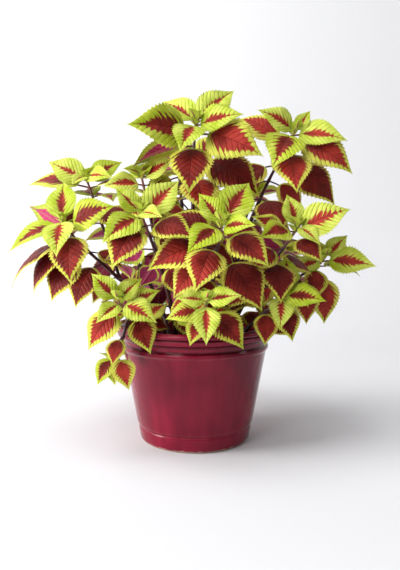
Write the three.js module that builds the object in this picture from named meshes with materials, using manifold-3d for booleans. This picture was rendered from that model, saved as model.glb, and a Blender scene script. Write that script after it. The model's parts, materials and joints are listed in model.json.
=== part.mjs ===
// A coleus growing in a glazed pot.
// Frame: millimetres, +Z up, origin at the centre of the pot's flat underside. The side that the plant
// shows best faces -Y, and +X is to its right.
import * as THREE from "three";
import { mergeVertices } from "three/addons/utils/BufferGeometryUtils.js";
import Module from "manifold-3d";

const wasm = await Module();
wasm.setup();

// ---------------------------------------------------------------- driving dimensions, in millimetres

const POT_HEIGHT = 146;
const RIM_RADIUS = 101.5; // the rolled lip, a pot of eight inches
const SHOULDER_RADIUS = 90; // top of the tapered body, under the flared rim
const FOOT_RADIUS = 66.5; // the flat that the pot stands on
const POT_FLOOR = 9;
const FLOOR_RADIUS = 61;
const WALL_FOOT = { radius: 65.5, height: 14 }; // the inner wall's low end, and a place near its top
const WALL_TOP = { radius: 84, height: 118 };
const LIP_FOOT = 128; // height at which the inner wall turns out under the lip
const POT_SIDES = 24;
const DRAIN_HOLES = 3;
const DRAIN_RADIUS = 5;
const DRAIN_CIRCLE = 30; // radius on which the drain holes lie

const SOIL_TOP = 116;
const SOIL_ROUGHNESS = 1.6;
const SOIL_CROWN = 2; // rise of the soil's middle over its edge
const SOIL_RINGS = [62, 26]; // radii at which its surface bends
const GAP = 0.3; // left between pieces that touch
const HOLE_DEPTH = 42; // of the plain holes that the stems stand in
const HOLE_SIDES = 4;

const STEM_BASE_RADIUS = 3.4; // corner radius of the square stems at the soil
const STEM_TIP_RADIUS = 1.3;
const SIDE_BASE_RADIUS = 2.2;
const STEM_STEPS = 24; // points on a stem's centre line
const STEM_RINGS = 5; // square sections along it

const FIRST_NODE = 3; // distance of the first pair of leaves below the growing point
const NODE_PITCH = 5; // from one pair to the next, and how much it grows
const NODE_GROWTH = 1.8;
const PETIOLE_FOOT = 0.6; // thickness of a leaf's stalk inside its stem, for one at its blade
const BLADE_THICKNESS = 0.7;
// What a new leaf and an old one have. All but the fold are shares of the blade's length.
const LEAF = {
  petiole: [0.05, 0.32],
  half: [0.33, 0.4], // half of the blade's width
  arch: [0.05, 0.13], // rise of the midrib's arch
  fold: [0.32, -0.08], // rise of each half towards the margin, for one of width
};
const TOOTH_OUT = 1.05; // the margin at a tooth's point and in a notch, as shares of the half width
const NOTCH_IN = 0.9;
const TEETH_FROM = 0.05; // where the teeth start and end along the blade
const TEETH_TO = 0.87;
const LARGE_BLADE = 64; // blades longer than this have four teeth a side, and the small ones have two
const SMALL_BLADE = 45;

const SLIVER = 0.05; // narrow faces left where pieces join are closed up to this
const CLEARANCE = 1.5; // kept between a blade and what it doesn't belong to
const SWING_STEP = 6; // degrees a leaf is turned at a time to find its room
const SWING_RINGS = 6;

// ---------------------------------------------------------------- the plant's habit

// Each shoot is rooted in the soil at [x, y], or grows from another shoot at a share of its length, and ends
// in a growing point at tip. light is the direction, in degrees from +X, that its leaves lean towards.
// Its leaves stand in opposite pairs, given from the growing point down. A leaf is [reach of its blade in x, y
// and z, lean of its face from the sky towards the light in degrees, age from 0 for new to 1 for old].
const PLANT = {
  leafy_stem_top: [
    { name: "E", root: [0, -6], tip: [2, -15, 397], light: -90, leaves: [
      [-40, 28, 28, 60, 0.15], [43, 18, 38, 60, 0.2],
      [53, -14, 9, 65, 0.25], [-16, -40, -36, 50, 0.3],
      [-71, -14, 25, 78, 0.5], [64, -28, -31, 76, 0.7],
      [-4, -36, -58, 45, 0.8], [-66, 4, -26, -18, 0.5],
      [60, -22, -46, 50, 0.85], [44, 34, 30, 30, 0.6],
      [10, -40, -46, 45, 0.95], [-30, 50, 6, 20, 0.6],
      [-42, 42, -30, 20, 0.8], [50, -18, -30, 50, 0.9],
      [-30, -30, -40, 50, 0.95], [30, 40, -30, 20, 0.9],
      [-44, 8, -26, 30, 0.9], [44, 6, -28, 40, 0.9],
    ] },
  ],
  leafy_stem_top_right: [
    { name: "F", root: [32, 2], tip: [127, 5, 388], light: -90, leaves: [
      [16, 4, 24, 60, 0.2], [-43, -8, 22, 65, 0.3],
      [56, -20, -8, 60, 0.3], [-26, -45, -45, 55, 0.45],
      [56, -22, -40, 50, 0.8], [-50, 20, 28, 50, 0.75],
      [6, -38, -50, 50, 0.9], [34, 30, -30, 20, 0.8],
      [50, -12, -48, 50, 0.95], [-40, -6, -32, 40, 0.9],
      [-26, 34, -24, 25, 0.9], [26, 6, -44, 40, 0.95],
      [14, -34, -42, 45, 1], [-34, 36, -30, 20, 0.85],
      [34, 30, -24, 20, 0.85], [-18, -26, -40, 40, 0.95],
    ] },
  ],
  leafy_stem_left: [
    { name: "B", root: [-34, -4], tip: [-163, -20, 275], light: -100, leaves: [
      [-5, 34, 48, 70, 0.25], [2, -40, -40, 55, 0.3],
      [54, -18, 20, 65, 0.5], [-58, -14, -28, 28, 0.4],
      [5, -30, -54, 50, 0.85], [-48, 16, 34, -80, 0.6],
      [-62, 0, -54, 12, 0.9], [-36, -4, -58, 20, 0.95],
      [-28, -10, -55, 45, 0.9], [30, 4, -20, 30, 0.9],
      [-18, -24, -46, 50, 0.95], [24, 46, -26, 20, 0.8],
      [-20, -10, -30, 40, 0.85], [20, -16, -34, 45, 0.95],
      [-36, 34, -24, 20, 0.8], [22, 34, -34, 25, 0.9],
    ] },
    { name: "A", from: ["B", 0.5], tip: [-144, 40, 335], light: -95, leaves: [
      [-12, -26, -12, 55, 0.1], [34, -24, -2, 60, 0.15],
      [-42, -4, 34, 70, 0.2], [40, 10, 24, 65, 0.3],
      [-74, 8, 12, 30, 0.6], [38, -10, 2, 20, 0.7],
      [15, 54, -4, 20, 0.6], [-20, 46, 8, 30, 0.4],
      [34, -26, -30, 45, 0.8], [-30, -16, -34, 45, 0.85],
      [36, 30, -16, 25, 0.8], [-38, 30, -20, 25, 0.8],
    ] },
  ],
  leafy_stem_front_left: [
    { name: "C", root: [-22, -24], tip: [-62, -78, 284], light: -90, leaves: [
      [24, -20, -6, 60, 0.1], [-26, 2, 26, 65, 0.15],
      [36, 20, 40, 65, 0.3], [-36, -30, -28, 55, 0.3],
      [44, -26, -16, 50, 0.75], [-24, -32, -44, 50, 0.8],
      [-42, 6, 18, 60, 0.4], [34, -10, -26, 45, 0.85],
      [-48, 10, -14, -65, 0.8], [10, 44, -5, 20, 0.5],
      [22, -16, -36, 45, 0.95], [-18, 10, -26, -70, 0.85],
      [-12, 30, -34, 20, 0.9], [24, 30, -30, 20, 0.9],
      [-34, -8, -30, 40, 0.9], [36, -8, -30, 40, 0.95],
    ] },
    { name: "D", from: ["C", 0.55], tip: [-69, 15, 336], light: -90, leaves: [
      [-18, -14, 8, 60, 0.1], [17, -6, 14, 60, 0.1],
      [-18, 12, 16, 55, 0.2], [30, 2, 28, 60, 0.35],
      [-42, -18, -4, 60, 0.4], [40, 14, -12, 50, 0.55],
      [12, -38, -28, 50, 0.7], [-8, 44, 4, 30, 0.5],
      [-36, 14, -28, 40, 0.8], [34, 26, -20, 30, 0.8],
    ] },
  ],
  leafy_stem_centre: [
    { name: "J", root: [14, -34], tip: [30, -96, 272], light: -90, leaves: [
      [-23, 12, 31, 65, 0.2], [29, 32, 43, 65, 0.3],
      [32, -24, 2, 60, 0.25], [-32, -30, -26, 50, 0.35],
      [40, -26, -32, 50, 0.75], [-48, 10, 24, 40, 0.7],
      [-18, -34, -44, 50, 0.85], [-60, -16, -26, 45, 0.85],
      [34, -24, -50, 50, 0.95], [-36, -16, -36, 45, 0.9],
      [-12, -22, -36, 45, 0.95], [44, 4, -28, 40, 0.95],
      [6, -26, -36, 45, 1], [-34, 26, -24, 30, 0.9],
      [38, 26, -18, 20, 0.8], [-10, 36, -30, 20, 1],
    ] },
  ],
  leafy_stem_front: [
    { name: "M", root: [8, -56], tip: [12, -124, 189], light: -90, leaves: [
      [-28, -8, 6, 60, 0.2], [34, -8, 6, 60, 0.2],
      [0, -6, 22, 80, 0.05], [0, -24, -36, 55, 0.3],
      [-36, -8, -8, 50, 0.5], [30, -14, -36, 50, 0.7],
      [-12, -14, -26, 40, 0.6], [22, 26, -6, 40, 0.6],
      [-24, 30, 6, 30, 0.4], [34, 14, -4, 30, 0.7],
    ] },
  ],
  leafy_stem_low_left: [
    { name: "K", root: [-44, -34], tip: [-86, -94, 187], light: -95, leaves: [
      [-27, 4, 27, 65, 0.25], [24, 8, 22, 60, 0.15],
      [36, -18, -18, 55, 0.35], [-22, -20, -18, 55, 0.2],
      [34, -4, 20, 55, 0.45], [-28, -18, -39, 50, 0.75],
      [16, -18, -36, 50, 0.75], [-42, 6, -5, 40, 0.6],
      [20, 10, -26, 40, 0.85], [18, 36, 4, 30, 0.5],
      [-24, 28, -8, 30, 0.6],
    ] },
    { name: "L", from: ["K", 0.7], tip: [-93, -84, 110], light: -100, leaves: [
      [2, -12, -22, 50, 0.4], [12, -10, -4, 50, 0.2],
      [-13, -6, -30, 45, 0.55], [9, -8, -35, 35, 0.7],
      [6, 18, -16, 20, 0.6], [-14, 14, -14, 20, 0.6],
      [-6, -12, -28, 35, 0.85], [10, 12, -26, 20, 0.8],
    ] },
  ],
  leafy_stem_right: [
    { name: "G", root: [40, -22], tip: [120, -60, 268], light: -85, leaves: [
      [-9, 14, 36, 65, 0.25], [20, -20, -20, 55, 0.15],
      [50, -12, 29, 60, 0.45], [-38, -26, -8, 50, 0.5],
      [24, -24, -25, 50, 0.8], [-36, -6, 22, 50, 0.7],
      [-32, -18, -26, 45, 0.9], [14, 46, 6, 20, 0.5],
      [2, -30, -42, 50, 0.9], [40, 22, -20, 30, 0.85],
      [-32, -14, -40, 45, 0.95], [38, -8, -36, 40, 0.95],
      [-28, 30, -10, 30, 0.7], [24, 34, -24, 20, 0.8],
    ] },
    { name: "H", from: ["G", 0.42], tip: [166, 5, 231], light: -80, leaves: [
      [26, 4, 26, 60, 0.25], [-8, 0, 20, 60, 0.15],
      [56, -12, -9, 60, 0.4], [-32, -20, -4, 50, 0.3],
      [-2, -24, -34, 55, 0.75], [50, 14, -14, 10, 0.6],
      [13, -8, -56, 45, 0.85], [-28, 26, -6, 30, 0.6],
      [4, -14, -50, 40, 0.95], [20, 40, -24, 20, 0.7],
      [12, 44, 2, 20, 0.6], [-20, 10, -36, 30, 0.85],
    ] },
  ],
  leafy_stem_low_right: [
    { name: "I", root: [48, -40], tip: [103, -76, 194], light: -85, leaves: [
      [-20, 2, 24, 60, 0.2], [0, 10, 44, 65, 0.35],
      [42, -18, -4, 55, 0.35], [-4, -26, -32, 55, 0.3],
      [11, -16, -38, 50, 0.75], [14, 14, 30, 60, 0.4],
      [-3, -14, -34, 50, 0.85], [-26, 16, 24, 50, 0.7],
      [32, 2, -20, 45, 0.85], [28, 32, 2, 20, 0.6],
      [10, 38, -8, 30, 0.8], [-30, 26, -14, 30, 0.8],
    ] },
  ],
  leafy_stem_back_top: [
    { name: "N", root: [-8, 26], tip: [-26, 93, 366], light: 100, pairs: 7 },
  ],
  leafy_stem_back_right: [
    { name: "O", root: [28, 30], tip: [86, 112, 320], light: 60, pairs: 6 },
    { name: "R", from: ["O", 0.45], tip: [136, 128, 234], light: 45, pairs: 5 },
  ],
  leafy_stem_back_left: [
    { name: "P", root: [-34, 34], tip: [-110, 118, 272], light: 130, pairs: 6 },
    { name: "S", from: ["P", 0.4], tip: [-78, 156, 196], light: 115, pairs: 5 },
  ],
  leafy_stem_back: [
    { name: "Q", root: [2, 50], tip: [8, 150, 280], light: 88, pairs: 6 },
    { name: "T", from: ["Q", 0.4], tip: [52, 166, 194], light: 75, pairs: 5 },
  ],
};

// ---------------------------------------------------------------- colours

const LOOKS = {
  pot: { color: 0x6f1424, roughness: 0.16, metalness: 0 },
  soil: { color: 0x1c1310, roughness: 0.95, metalness: 0 },
  foliage: { color: 0x9fb52e, roughness: 0.5, metalness: 0 },
};

// ---------------------------------------------------------------- small vector helpers on [x, y, z]

const UP = [0, 0, 1];
const add = (a, b) => [a[0] + b[0], a[1] + b[1], a[2] + b[2]];
const sub = (a, b) => [a[0] - b[0], a[1] - b[1], a[2] - b[2]];
const times = (a, k) => [a[0] * k, a[1] * k, a[2] * k];
const dot = (a, b) => a[0] * b[0] + a[1] * b[1] + a[2] * b[2];
const cross = (a, b) => [a[1] * b[2] - a[2] * b[1], a[2] * b[0] - a[0] * b[2], a[0] * b[1] - a[1] * b[0]];
const length = (a) => Math.sqrt(dot(a, a));
const unit = (a) => times(a, 1 / length(a));
const mix = (a, b, t) => add(times(a, 1 - t), times(b, t));
const radians = (degrees) => (degrees * Math.PI) / 180;

/** The direction with a heading from +X and a height above the horizon, both in radians. */
const heading = (azimuth, elevation) => [
  Math.cos(elevation) * Math.cos(azimuth),
  Math.cos(elevation) * Math.sin(azimuth),
  Math.sin(elevation),
];

/** Seeded draws from 0 to 1, the same on every run. */
function draws(seed) {
  let state = seed;
  return () => {
    state = (state * 48271) % 2147483647;
    return state / 2147483647;
  };
}

// ---------------------------------------------------------------- solids

/** A manifold solid of a closed three.js geometry. */
function solidOf(geometry) {
  const bare = geometry.clone();
  bare.deleteAttribute("normal");
  bare.deleteAttribute("uv");
  const merged = mergeVertices(bare, 1e-4);
  return new wasm.Manifold(
    new wasm.Mesh({
      numProp: 3,
      vertProperties: merged.attributes.position.array,
      triVerts: new Uint32Array(merged.index.array),
    }),
  );
}

/** A three.js geometry of a manifold solid. */
function geometryOf(solid) {
  const mesh = solid.getMesh();
  return new THREE.BufferGeometry()
    .setAttribute("position", new THREE.BufferAttribute(new Float32Array(mesh.vertProperties), 3))
    .setIndex(new THREE.BufferAttribute(new Uint32Array(mesh.triVerts), 1));
}

/** A geometry from points and triangles of point numbers. */
function geometryFrom(points, triangles) {
  return new THREE.BufferGeometry()
    .setAttribute("position", new THREE.Float32BufferAttribute(points.flat(), 3))
    .setIndex(triangles.flat());
}

// ---------------------------------------------------------------- pot and soil

/** Radius of the pot's inner wall at a height, without the lip. */
function innerRadius(z) {
  const share = (z - WALL_FOOT.height) / (WALL_TOP.height - WALL_FOOT.height);
  return WALL_FOOT.radius + share * (WALL_TOP.radius - WALL_FOOT.radius);
}

/** The pot's section from the centre of its underside round to the centre of its floor. */
function potProfile() {
  const outside = [
    [0, 0],
    [FOOT_RADIUS, 0],
    [FOOT_RADIUS + 3, 3],
    [FOOT_RADIUS + 5, 16.5],
    [FOOT_RADIUS + 4, 19.5], // groove above the foot
    [FOOT_RADIUS + 6.7, 22.5],
    [SHOULDER_RADIUS, 114.5],
    [SHOULDER_RADIUS + 2.6, 117], // bead under the flared rim
    [SHOULDER_RADIUS + 2.6, 120.5],
    [SHOULDER_RADIUS + 0.4, 123],
    [SHOULDER_RADIUS + 1.2, 130.5],
    [RIM_RADIUS - 4.3, 132.8], // band
    [RIM_RADIUS - 3.3, 137.2],
    [RIM_RADIUS - 4.7, 138.4],
    [RIM_RADIUS - 0.4, 140.2], // rolled lip
    [RIM_RADIUS, 143.4],
    [RIM_RADIUS - 3, POT_HEIGHT],
    [RIM_RADIUS - 9, POT_HEIGHT - 0.4],
    [RIM_RADIUS - 11.8, POT_HEIGHT - 4],
  ];
  const inside = [
    [innerRadius(LIP_FOOT), LIP_FOOT],
    [WALL_FOOT.radius, WALL_FOOT.height],
    [FLOOR_RADIUS, POT_FLOOR],
    [0, POT_FLOOR],
  ];
  return [...outside, ...inside].map(([radius, z]) => new THREE.Vector2(radius, z));
}

/** A solid turned about the Z axis from a profile of radius and height. */
function turned(profile) {
  return solidOf(new THREE.LatheGeometry(profile, POT_SIDES).rotateX(Math.PI / 2));
}

/** An upright prism of equal sides, for cutting holes. */
function plug(x, y, low, high, radius, sides) {
  const cylinder = new THREE.CylinderGeometry(radius, radius, high - low, sides);
  return solidOf(cylinder.rotateX(Math.PI / 2).translate(x, y, (low + high) / 2));
}

function makePot() {
  let pot = turned(potProfile());
  for (let i = 0; i < DRAIN_HOLES; i++) {
    const angle = (2 * Math.PI * i) / DRAIN_HOLES + Math.PI / 6;
    const [x, y] = [DRAIN_CIRCLE * Math.cos(angle), DRAIN_CIRCLE * Math.sin(angle)];
    pot = pot.subtract(plug(x, y, -1, POT_FLOOR + 1, DRAIN_RADIUS, 12));
  }
  return pot;
}

/** The potting soil fills the pot to below its lip, with a plain hole for each stem. */
function makeSoil(roots) {
  const profile = [
    [0, POT_FLOOR + GAP],
    [FLOOR_RADIUS - GAP, POT_FLOOR + GAP],
    [WALL_FOOT.radius - GAP, WALL_FOOT.height],
    [innerRadius(SOIL_TOP) - 2 * GAP, SOIL_TOP - SOIL_CROWN],
    [SOIL_RINGS[0], SOIL_TOP],
    [SOIL_RINGS[1], SOIL_TOP + SOIL_CROWN],
    [0, SOIL_TOP + SOIL_CROWN],
  ];
  const geometry = new THREE.LatheGeometry(
    profile.map(([radius, z]) => new THREE.Vector2(radius, z)),
    POT_SIDES,
  ).rotateX(Math.PI / 2);
  const place = geometry.attributes.position;
  for (let i = 0; i < place.count; i++) {
    const [x, y, z] = [place.getX(i), place.getY(i), place.getZ(i)];
    if (z < SOIL_TOP - 1 || Math.hypot(x, y) < 1) continue;
    place.setZ(i, z + SOIL_ROUGHNESS * Math.sin(0.13 * x + 1) * Math.sin(0.17 * y + 2));
  }
  let soil = solidOf(geometry);
  for (const [x, y] of roots) {
    const floor = SOIL_TOP - HOLE_DEPTH;
    soil = soil.subtract(plug(x, y, floor, SOIL_TOP + 10, STEM_BASE_RADIUS + 2 * GAP, HOLE_SIDES));
  }
  return soil;
}

// ---------------------------------------------------------------- stems

/** Centre line of a shoot: straight up out of the soil, then out to its growing point. */
function centreLine(start, tip, rooted) {
  const reach = sub(tip, start);
  const out = [reach[0], reach[1], 0];
  const span = length(reach);
  const first = rooted ? add(start, [0.12 * out[0], 0.12 * out[1], 0.4 * reach[2]]) : mix(start, tip, 0.35);
  const lean = unit(add([0, 0, Math.sign(reach[2])], times(out, 0.6 / Math.max(length(out), 1))));
  const last = sub(tip, times(lean, 0.3 * span));
  const points = [];
  for (let i = 0; i <= STEM_STEPS; i++) {
    const t = i / STEM_STEPS;
    const s = 1 - t;
    points.push(
      add(
        add(times(start, s * s * s), times(first, 3 * s * s * t)),
        add(times(last, 3 * s * t * t), times(tip, t * t * t)),
      ),
    );
  }
  return points;
}

/** The point of a centre line that lies a distance back from its end. */
function pointBelowTip(line, distance) {
  let left = distance;
  for (let i = line.length - 1; i > 0; i--) {
    const step = length(sub(line[i], line[i - 1]));
    if (step >= left) return mix(line[i], line[i - 1], left / step);
    left -= step;
  }
  return line[0];
}

/** Corners of a square section at a point of a stem. */
function squareRing(point, direction, radius) {
  const side = unit(cross(Math.abs(direction[2]) > 0.9 ? [0, 1, 0] : UP, direction));
  const other = cross(direction, side);
  return [side, other, times(side, -1), times(other, -1)].map((v) => add(point, times(v, radius)));
}

/** Square sections from the foot of a shoot to its growing point. */
function stemRings(shoot) {
  const line = shoot.line;
  const rings = [];
  const side = shoot.root ? STEM_BASE_RADIUS : SIDE_BASE_RADIUS;
  if (shoot.root) {
    const foot = [line[0][0], line[0][1], SOIL_TOP - HOLE_DEPTH + GAP];
    rings.push(squareRing(foot, UP, side));
  }
  for (let i = 0; i <= STEM_RINGS; i++) {
    const at = Math.round((i * STEM_STEPS) / STEM_RINGS);
    const ahead = line[Math.min(at + 1, STEM_STEPS)];
    const behind = line[Math.max(at - 1, 0)];
    const direction = i === 0 && shoot.root ? UP : unit(sub(ahead, behind));
    rings.push(squareRing(line[at], direction, side + ((STEM_TIP_RADIUS - side) * i) / STEM_RINGS));
  }
  return rings;
}

/** A closed tube through square rings. */
function tubeThrough(rings) {
  const points = rings.flat();
  const triangles = [];
  for (let i = 0; i + 1 < rings.length; i++) {
    for (let j = 0; j < 4; j++) {
      const [a, b] = [4 * i + j, 4 * i + ((j + 1) % 4)];
      triangles.push([a, b, b + 4], [a, b + 4, a + 4]);
    }
  }
  const end = points.length - 4;
  triangles.push([2, 1, 0], [3, 2, 0], [end, end + 1, end + 2], [end, end + 2, end + 3]);
  return geometryFrom(points, triangles);
}

// ---------------------------------------------------------------- leaves

/** Half width of a blade, as a share of its largest, at a share of its length. */
const outline = (t) => Math.pow(Math.sin(Math.PI * Math.pow(t, 0.66)), 0.8 + 0.55 * t);

/** Places a leaf: its node, its petiole and its blade's own axes, turned by a swing and a lift. */
function placeLeaf(shoot, index, swing, lift, share) {
  const [dx, dy, dz, face, age] = shoot.leaves[index];
  const pair = Math.floor(index / 2);
  const chord = length([dx, dy, dz]) * share;
  const azimuth = Math.atan2(dy, dx) + radians(swing);
  const rise = Math.asin((dz * share) / chord) + radians(lift);
  const elevation = Math.max(-1.5, Math.min(1.5, rise));
  const along = heading(azimuth, elevation);
  const node = pointBelowTip(shoot.line, FIRST_NODE + NODE_PITCH * pair + NODE_GROWTH * pair * pair);
  const [petiole, half, arch, fold] = Object.values(LEAF).map(([young, old]) => young + (old - young) * age);
  const base = add(node, times(heading(azimuth, 0.5 * elevation + 0.26), chord * petiole));
  const light = heading(radians(shoot.light), 0);
  const hint = add(times(UP, Math.cos(radians(face))), times(light, Math.sin(radians(face))));
  const normal = unit(sub(hint, times(along, dot(hint, along))));
  return { shoot, age, node, base, along, normal, side: cross(normal, along), chord, half: chord * half, arch, fold };
}

/** A point of a blade: t along it, u across it from -1 to 1, and lift along its normal. */
function bladePoint(leaf, t, u, lift) {
  const across = u * leaf.half * outline(t);
  const rise = 4 * leaf.arch * leaf.chord * t * (1 - t) + leaf.fold * Math.abs(across) + lift;
  const ahead = add(leaf.base, times(leaf.along, leaf.chord * t));
  return add(add(ahead, times(leaf.side, across)), times(leaf.normal, rise));
}

/** A leaf as one closed mesh: a folded, arched blade with teeth, and its petiole back to the node. */
function leafGeometry(leaf) {
  const teeth = leaf.chord > LARGE_BLADE ? 4 : leaf.chord > SMALL_BLADE ? 3 : 2;
  const ribs = leaf.chord > SMALL_BLADE ? [0.26, 0.62] : [0.4];
  const thin = BLADE_THICKNESS / 2;
  const stalk = 0.8 + 0.009 * leaf.chord;
  const points = [];
  const put = (point) => points.push(point) - 1;
  const both = (t, u) => [put(bladePoint(leaf, t, u, thin)), put(bladePoint(leaf, t, u, -thin))];
  const shared = (t, u) => Array(2).fill(put(bladePoint(leaf, t, u, 0)));

  const apex = shared(1, 0);
  const middle = [...ribs.map((t) => both(t, 0)), apex];
  const places = [...ribs, 1];
  const triangles = [];
  const shoulders = [];
  for (const hand of [1, -1]) {
    const shoulder = put(add(leaf.base, times(leaf.side, hand * stalk)));
    const margin = [[shoulder, shoulder]];
    const stops = [0];
    const pitch = (TEETH_TO - TEETH_FROM) / teeth;
    for (let i = 0; i < teeth; i++) {
      const start = TEETH_FROM + pitch * i;
      margin.push(shared(start + 0.7 * pitch, hand * TOOTH_OUT), both(start + pitch, hand * NOTCH_IN));
      stops.push(start + 0.7 * pitch, start + pitch);
    }
    margin.push(apex);
    stops.push(1);
    shoulders.push(shoulder);
    const face = (a, b, c, upper) => triangles.push(upper === hand > 0 ? [a, b, c] : [c, b, a]);
    // Each half is a strip between midrib and margin, split alike above and below.
    let [i, j] = [0, 0];
    while (i < middle.length - 1 || j < margin.length - 1) {
      const balanced = i < ribs.length - 1 && places[i] + places[i + 1] < stops[j] + stops[j + 1];
      const forward = balanced || j === margin.length - 1;
      const next = forward ? middle[i + 1] : margin[j + 1];
      for (const k of [0, 1]) {
        const corner = [middle[i][k], next[k], margin[j][k]];
        if (new Set(corner).size === 3) face(...corner, k === 0);
      }
      if (forward) i++;
      else j++;
    }
    for (let k = 0; k + 1 < margin.length; k++) {
      const [a, b] = [margin[k], margin[k + 1]];
      if (a[0] !== a[1]) face(a[0], b[0], a[1], true);
      if (b[0] !== b[1]) face(a[0], b[0], b[1], true);
    }
  }

  // The three-sided petiole runs from the blade's shoulders and keel back into the stem.
  const [left, right] = shoulders;
  const keel = put(add(leaf.base, times(leaf.normal, -stalk)));
  triangles.push([right, middle[0][0], left], [left, middle[0][1], keel], [keel, middle[0][1], right]);
  const rise = unit(cross(unit(sub(leaf.base, leaf.node)), leaf.side));
  const ends = [leaf.side, times(leaf.side, -1), times(rise, -1)];
  const foot = ends.map((v) => put(add(leaf.node, times(v, PETIOLE_FOOT * stalk))));
  const head = [left, right, keel];
  for (let k = 0; k < 3; k++) {
    const n = (k + 1) % 3;
    triangles.push([foot[k], foot[n], head[n]], [foot[k], head[n], head[k]]);
  }
  triangles.push([foot[2], foot[1], foot[0]]);
  return geometryFrom(points, triangles);
}

// ---------------------------------------------------------------- finding room for each leaf

/** The coarse sheet that stands for a blade and its petiole while room is sought for it. */
function sheetOf(leaf, width, lift) {
  const at = (t, u) => bladePoint(leaf, t, u * width, lift);
  const [base, apex] = [at(0, 0), at(1, 0)];
  const rows = [0.16, 0.45, 0.74].map((t) => [at(t, 1), at(t, 0), at(t, -1)]);
  const lines = [[leaf.node, leaf.base]];
  const faces = [];
  for (const k of [0, 1]) {
    faces.push([base, rows[0][k], rows[0][k + 1]], [rows[2][k], rows[2][k + 1], apex]);
    for (const i of [0, 1]) {
      faces.push([rows[i][k], rows[i][k + 1], rows[i + 1][k]]);
      faces.push([rows[i + 1][k + 1], rows[i][k + 1], rows[i + 1][k]]);
    }
    for (const row of rows) lines.push([row[k], row[k + 1]]);
  }
  for (const k of [0, 1, 2]) {
    lines.push([base, rows[0][k]], [rows[0][k], rows[1][k]], [rows[1][k], rows[2][k]], [rows[2][k], apex]);
  }
  return { lines, faces, middle: rows[1][1], reach: leaf.chord * 0.62 + length(sub(leaf.base, leaf.node)) };
}

/** The coarse sheet that stands for a stretch of stem. */
function sheetOfStem(rings) {
  const lines = [];
  const faces = [];
  for (let k = 0; k < 4; k++) {
    const n = (k + 1) % 4;
    lines.push([rings[0][k], rings[1][k]]);
    faces.push([rings[0][k], rings[0][n], rings[1][n]], [rings[0][k], rings[1][n], rings[1][k]]);
  }
  const middle = mix(rings[0][0], rings[1][2], 0.5);
  return { lines, faces, middle, reach: length(sub(rings[0][0], rings[1][2])) };
}

/** Whether a line between two points goes through a triangle. */
function pierces([p, q], [a, b, c]) {
  const along = sub(q, p);
  const [edge, other] = [sub(b, a), sub(c, a)];
  const h = cross(along, other);
  const area = dot(edge, h);
  if (Math.abs(area) < 1e-9) return false;
  const s = sub(p, a);
  const u = dot(s, h) / area;
  if (u < 0 || u > 1) return false;
  const k = cross(s, edge);
  const v = dot(along, k) / area;
  if (v < 0 || u + v > 1) return false;
  const t = dot(other, k) / area;
  return t >= 0 && t <= 1;
}

/** Whether two coarse sheets go through each other. */
function meet(a, b) {
  if (length(sub(a.middle, b.middle)) > a.reach + b.reach) return false;
  const through = (lines, faces) => lines.some((line) => faces.some((face) => pierces(line, face)));
  return through(a.lines, b.faces) || through(b.lines, a.faces);
}

/** The sheet of a leaf among those of its own shoot: its true width, and its petiole outside the stem. */
function narrowSheet(leaf) {
  const sheet = sheetOf(leaf, 1, 0);
  sheet.lines[0] = [mix(leaf.node, leaf.base, 0.4), leaf.base];
  return sheet;
}

/** Whether a point is clear of the pot and the soil. */
function clearOfPot([x, y, z]) {
  const radius = Math.hypot(x, y);
  if (z > POT_HEIGHT + CLEARANCE || radius > RIM_RADIUS + CLEARANCE) return z > CLEARANCE;
  const wall = innerRadius(Math.min(z, WALL_TOP.height));
  return radius < wall - CLEARANCE && z > SOIL_TOP + SOIL_CROWN + 2 * CLEARANCE;
}

/** Whether a leaf in this place keeps clear of the pot, of the stems and of the leaves before it. */
function hasRoom(leaf, grown, stems) {
  const sheets = [-CLEARANCE, 0, CLEARANCE].map((lift) => sheetOf(leaf, 1.08, lift));
  for (const [p, q] of sheets[1].lines) {
    for (let i = 0; i <= 6; i++) {
      if (!clearOfPot(mix(p, q, i / 6))) return false;
    }
  }
  const narrow = narrowSheet(leaf);
  for (const other of grown) {
    if (other.leaf.shoot === leaf.shoot) {
      if (meet(narrow, other.narrow)) return false;
    } else if (sheets.some((sheet) => meet(sheet, other.sheet))) return false;
  }
  const blade = { ...narrow, lines: narrow.lines.slice(1) };
  return !stems.some(({ shoot, sheet }) =>
    shoot === leaf.shoot ? meet(blade, sheet) : sheets.some((each) => meet(each, sheet)),
  );
}

/** Turns and lifts, in steps, from none to the largest. */
function turns() {
  const list = [];
  for (let ring = 0; ring <= SWING_RINGS; ring++) {
    for (let swing = -ring; swing <= ring; swing++) {
      for (let lift = -ring; lift <= ring; lift++) {
        if (Math.max(Math.abs(swing), Math.abs(lift)) === ring) {
          list.push([swing * SWING_STEP, lift * SWING_STEP]);
        }
      }
    }
  }
  return list;
}

/** Grows the leaves one after another, each turned until it has room. A leaf without any isn't grown. */
function growLeaves(shoots) {
  const stems = [];
  for (const shoot of shoots) {
    const rings = stemRings(shoot);
    for (let i = 0; i + 1 < rings.length; i++) {
      stems.push({ shoot, sheet: sheetOfStem([rings[i], rings[i + 1]]) });
    }
  }
  const grown = [];
  for (const shoot of shoots) {
    for (let index = 0; index < shoot.leaves.length; index++) {
      for (const share of [1, 0.85, 0.7]) {
        const found = turns()
          .map(([swing, lift]) => () => placeLeaf(shoot, index, swing, lift, share))
          .find((place) => hasRoom(place(), grown, stems));
        if (found) {
          const leaf = found();
          grown.push({ leaf, sheet: sheetOf(leaf, 1.08, 0), narrow: narrowSheet(leaf) });
          break;
        }
      }
    }
  }
  return grown.map(({ leaf }) => leaf);
}

// ---------------------------------------------------------------- the whole plant

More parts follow.
